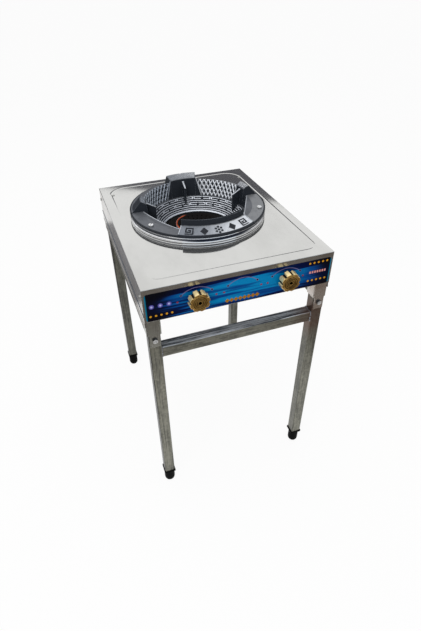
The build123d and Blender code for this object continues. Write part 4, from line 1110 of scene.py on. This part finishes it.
def panelScrewHeads(plan):  # slotted heads on the side panels
    low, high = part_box("panel_screws")
    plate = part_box("top_plate")[1].x
    half = (high.z - low.z) / 2
    bm = bmesh.new()
    spots = [(sign, y) for sign in (-1, 1) for y in (low.y + half, high.y - half)]
    for (sign, y), angle in zip(spots, plan.turned):
        face = Matrix.Translation((sign * plate, y, (low.z + high.z) / 2)) @ turned(90 * sign, "Y")
        seat = face @ Matrix.Translation((0, 0, plan.seat / 2 * mm))
        prism(bm, screwSides, plan.radius * mm, plan.seat * mm, seat)
        slottedTop(bm, plan, (high.x - plate) / mm, face @ turned(angle))
    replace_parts(piece("panel_screw_heads", bm, finishes["zinc_steel"]), "panel_screws")


threadPlan = Plan(  # end and boreRim: bevel in radius and depth
    crest=10.4, root=9.2, pitch=1.8, flank=(0.75, 1.0), lead=0.2, runOut=1.6, length=16.0, neck=11.0,
    neckLong=7.2, end=(0.5, 0.4), bore=6.0, boreDeep=14.0, boreRim=(0.6, 0.7), around=64)


def inletThread(plan):  # gas inlet with its pipe thread, and the hexagon behind the panel
    low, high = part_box("gas_inlet")
    middleX, _, middleZ = middleOf(low, high)
    length, flats = (high.y - low.y) / mm, (high.x - low.x) / mm
    root, crest, bore, neck = plan.root, plan.crest, plan.bore, plan.neck
    (end, endDeep), (rim, rimDeep) = plan.end, plan.boreRim
    start = length - plan.length
    foot = start + plan.lead
    hexLength = start - plan.neckLong
    boreEnd = length - plan.boreDeep
    turns = int((plan.length - plan.runOut) / plan.pitch)
    profile = [(0.0, hexLength), (neck, hexLength), (neck, start)]
    for i in range(turns):
        profile.append((root, foot + i * plan.pitch))
        profile += [(crest, foot + i * plan.pitch + rise) for rise in plan.flank]
    profile += [
        (root, foot + turns * plan.pitch), (root, length - endDeep), (root - end, length),
        (bore + rim, length), (bore, length - rimDeep), (bore, boreEnd), (0.0, boreEnd)]
    bm = bmesh.new()
    wholeTurn(bm, [(r * mm, along * mm, 0) for r, along in profile], (0, 1, 0), plan.around)
    hexagon = Matrix.Translation((0, hexLength / 2 * mm, 0)) @ turned(90, "X")
    prism(bm, 6, flats / 2 / math.cos(math.pi / 6) * mm, hexLength * mm, hexagon)
    bmesh.ops.remove_doubles(bm, verts=bm.verts, dist=tiny / 2)
    bmesh.ops.translate(bm, verts=bm.verts, vec=(middleX, low.y, middleZ))
    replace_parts(piece("gas_inlet_threaded", bm, finishes["brass"], smooth=True), "gas_inlet")


ringScrewSlots(slotPlan)
panelScrewHeads(headPlan)
inletThread(threadPlan)
print("welds, screw heads and the inlet thread")


# stage, light and camera
stagePlan = Plan(floor=60.0, grey=(0.86, 0.86, 0.86), sky=(0.62, 0.62, 0.62), white=0.93)
flagPlan = (  # studio flags that only reflections see: ends of the foot, heights there, tone
    ("flagRear", (-3.0, 2.4), (4.5, 2.4), (0.765, 2.53), (0.07, 0.07, 0.085)),
    ("flagFront", (-3.0, -3.0), (3.0, -3.0), (3.4, 3.4), (0.72, 0.78, 0.86)),
    ("flagRight", (2.8, -3.0), (2.8, 2.4), (1.7, 1.7), (0.20, 0.19, 0.19)),
    ("flagLeft", (-2.8, -3.0), (-2.8, 2.4), (1.7, 1.7), (0.20, 0.19, 0.19)),
)
matPlan = (  # mats on the floor that only reflections see: two corners, tone
    ("matFront", (-2.8, -3.0), (2.8, -0.74), (0.20, 0.178, 0.158)),
    ("matRear", (-0.60, 0.57), (-0.20, 1.34), (0.22, 0.22, 0.23)),
    ("matLeft", (-2.8, -0.74), (-0.41, 0.80), (0.28, 0.27, 0.25)),
    ("matRight", (0.41, -0.74), (2.8, 0.80), (0.28, 0.27, 0.25)),
)
matLift = 0.5 * mm
lampPlan = (  # softboxes: place, aim, size, watts
    ("topLamp", (-0.2, -0.1, 3.0), (-0.1, 0, 0.6), 2.6, 27.0),
    ("frontLamp", (-1.7, -1.9, 2.1), (0, 0, 0.55), 1.6, 22.0),
)
viewPlan = Plan(
    place=(-0.295839, -0.908812, 1.086077), yaw=19.10, down=38.31, roll=-0.80, focal=444.742,
    frame=(421, 631), sensor=36.0, clip=(0.02, 60.0))


def seenDirectly(look):  # rays that reach the backdrop from the camera, a mirror or glass
    rays = ("Is Camera Ray", "Is Glossy Ray", "Is Transmission Ray")
    seen, mirrored, through = (look.add("LightPath", output=name) for name in rays)
    return seen | mirrored | through


def stageFloor():
    bm = bmesh.new()
    bmesh.ops.create_grid(bm, x_segments=1, y_segments=1, size=stagePlan.floor)
    look = Look("paleFloor")
    paper = look.add("BsdfDiffuse", {}, {"Color": stagePlan.grey})
    white = look.add("Emission", {}, {"Color": (1, 1, 1), "Strength": 1.0})
    surface = look.add("MixShader", {}, {0: seenDirectly(look) * stagePlan.white, 1: paper, 2: white})
    look.add("OutputMaterial", {}, {"Surface": surface})
    floor = asObject("floor", bm, look.material)


def studioWorld():
    world = bpy.data.worlds.new("studio")
    bpy.context.scene.world = world
    look = Look(None, world)
    sky = look.add("Background", {}, {"Color": stagePlan.sky, "Strength": 1.0})
    white = look.add("Background", {}, {"Color": (1, 1, 1), "Strength": 1.0})
    mixed = look.add("MixShader", {}, {0: seenDirectly(look), 1: sky, 2: white})
    look.add("OutputWorld", {}, {"Surface": mixed})


def studioFlag(name, corners, tone):
    bm = bmesh.new()
    bm.faces.new([bm.verts.new(corner) for corner in corners])
    look = Look(name)
    look.add("OutputMaterial", {}, {"Surface": look.add("Emission", {}, {"Color": tone, "Strength": 1.0})})
    flag = asObject(name, bm, look.material)
    flag.visible_camera = False
    flag.visible_diffuse = False
    flag.visible_shadow = False


def studioLamp(name, place, aim, size, watts):
    data = bpy.data.lights.new(name, "AREA")
    data.shape = "SQUARE"
    data.size = size
    data.energy = watts
    lamp = bpy.data.objects.new(name, data)
    lamp.visible_glossy = False
    lamp.location = place
    lamp.rotation_euler = (Vector(aim) - Vector(place)).to_track_quat("-Z", "Y").to_euler()
    bpy.context.scene.collection.objects.link(lamp)


def photoCamera(plan):
    yaw, down, roll = (math.radians(plan[key]) for key in ("yaw", "down", "roll"))
    look = Vector((math.sin(yaw) * math.cos(down), math.cos(yaw) * math.cos(down), -math.sin(down)))
    right = look.cross(Vector((0, 0, 1))).normalized()
    up = right.cross(look)
    rightTilted = right * math.cos(roll) + up * math.sin(roll)
    upTilted = up * math.cos(roll) - right * math.sin(roll)
    data = bpy.data.cameras.new("photoCamera")
    data.sensor_width = plan.sensor
    data.lens = plan.focal / max(plan.frame) * plan.sensor
    data.clip_start, data.clip_end = plan.clip
    camera = bpy.data.objects.new("photoCamera", data)
    axes = Matrix((rightTilted, upTilted, -look)).transposed()
    camera.matrix_world = Matrix.Translation(plan.place) @ axes.to_4x4()
    bpy.context.scene.collection.objects.link(camera)
    bpy.context.scene.camera = camera


stageFloor()
studioWorld()
for name, start, end, (startHigh, endHigh), tone in flagPlan:
    studioFlag(name, ((*start, 0.0), (*end, 0.0), (*end, endHigh), (*start, startHigh)), tone)
for name, (west, south), (east, north), tone in matPlan:
    corners = ((west, south), (east, south), (east, north), (west, north))
    studioFlag(name, [(*corner, matLift) for corner in corners], tone)
for lamp in lampPlan:
    studioLamp(*lamp)
photoCamera(viewPlan)
bpy.context.scene.view_settings.view_transform = "Standard"
print("stage, lamps and camera")

bpy.context.view_layer.update()
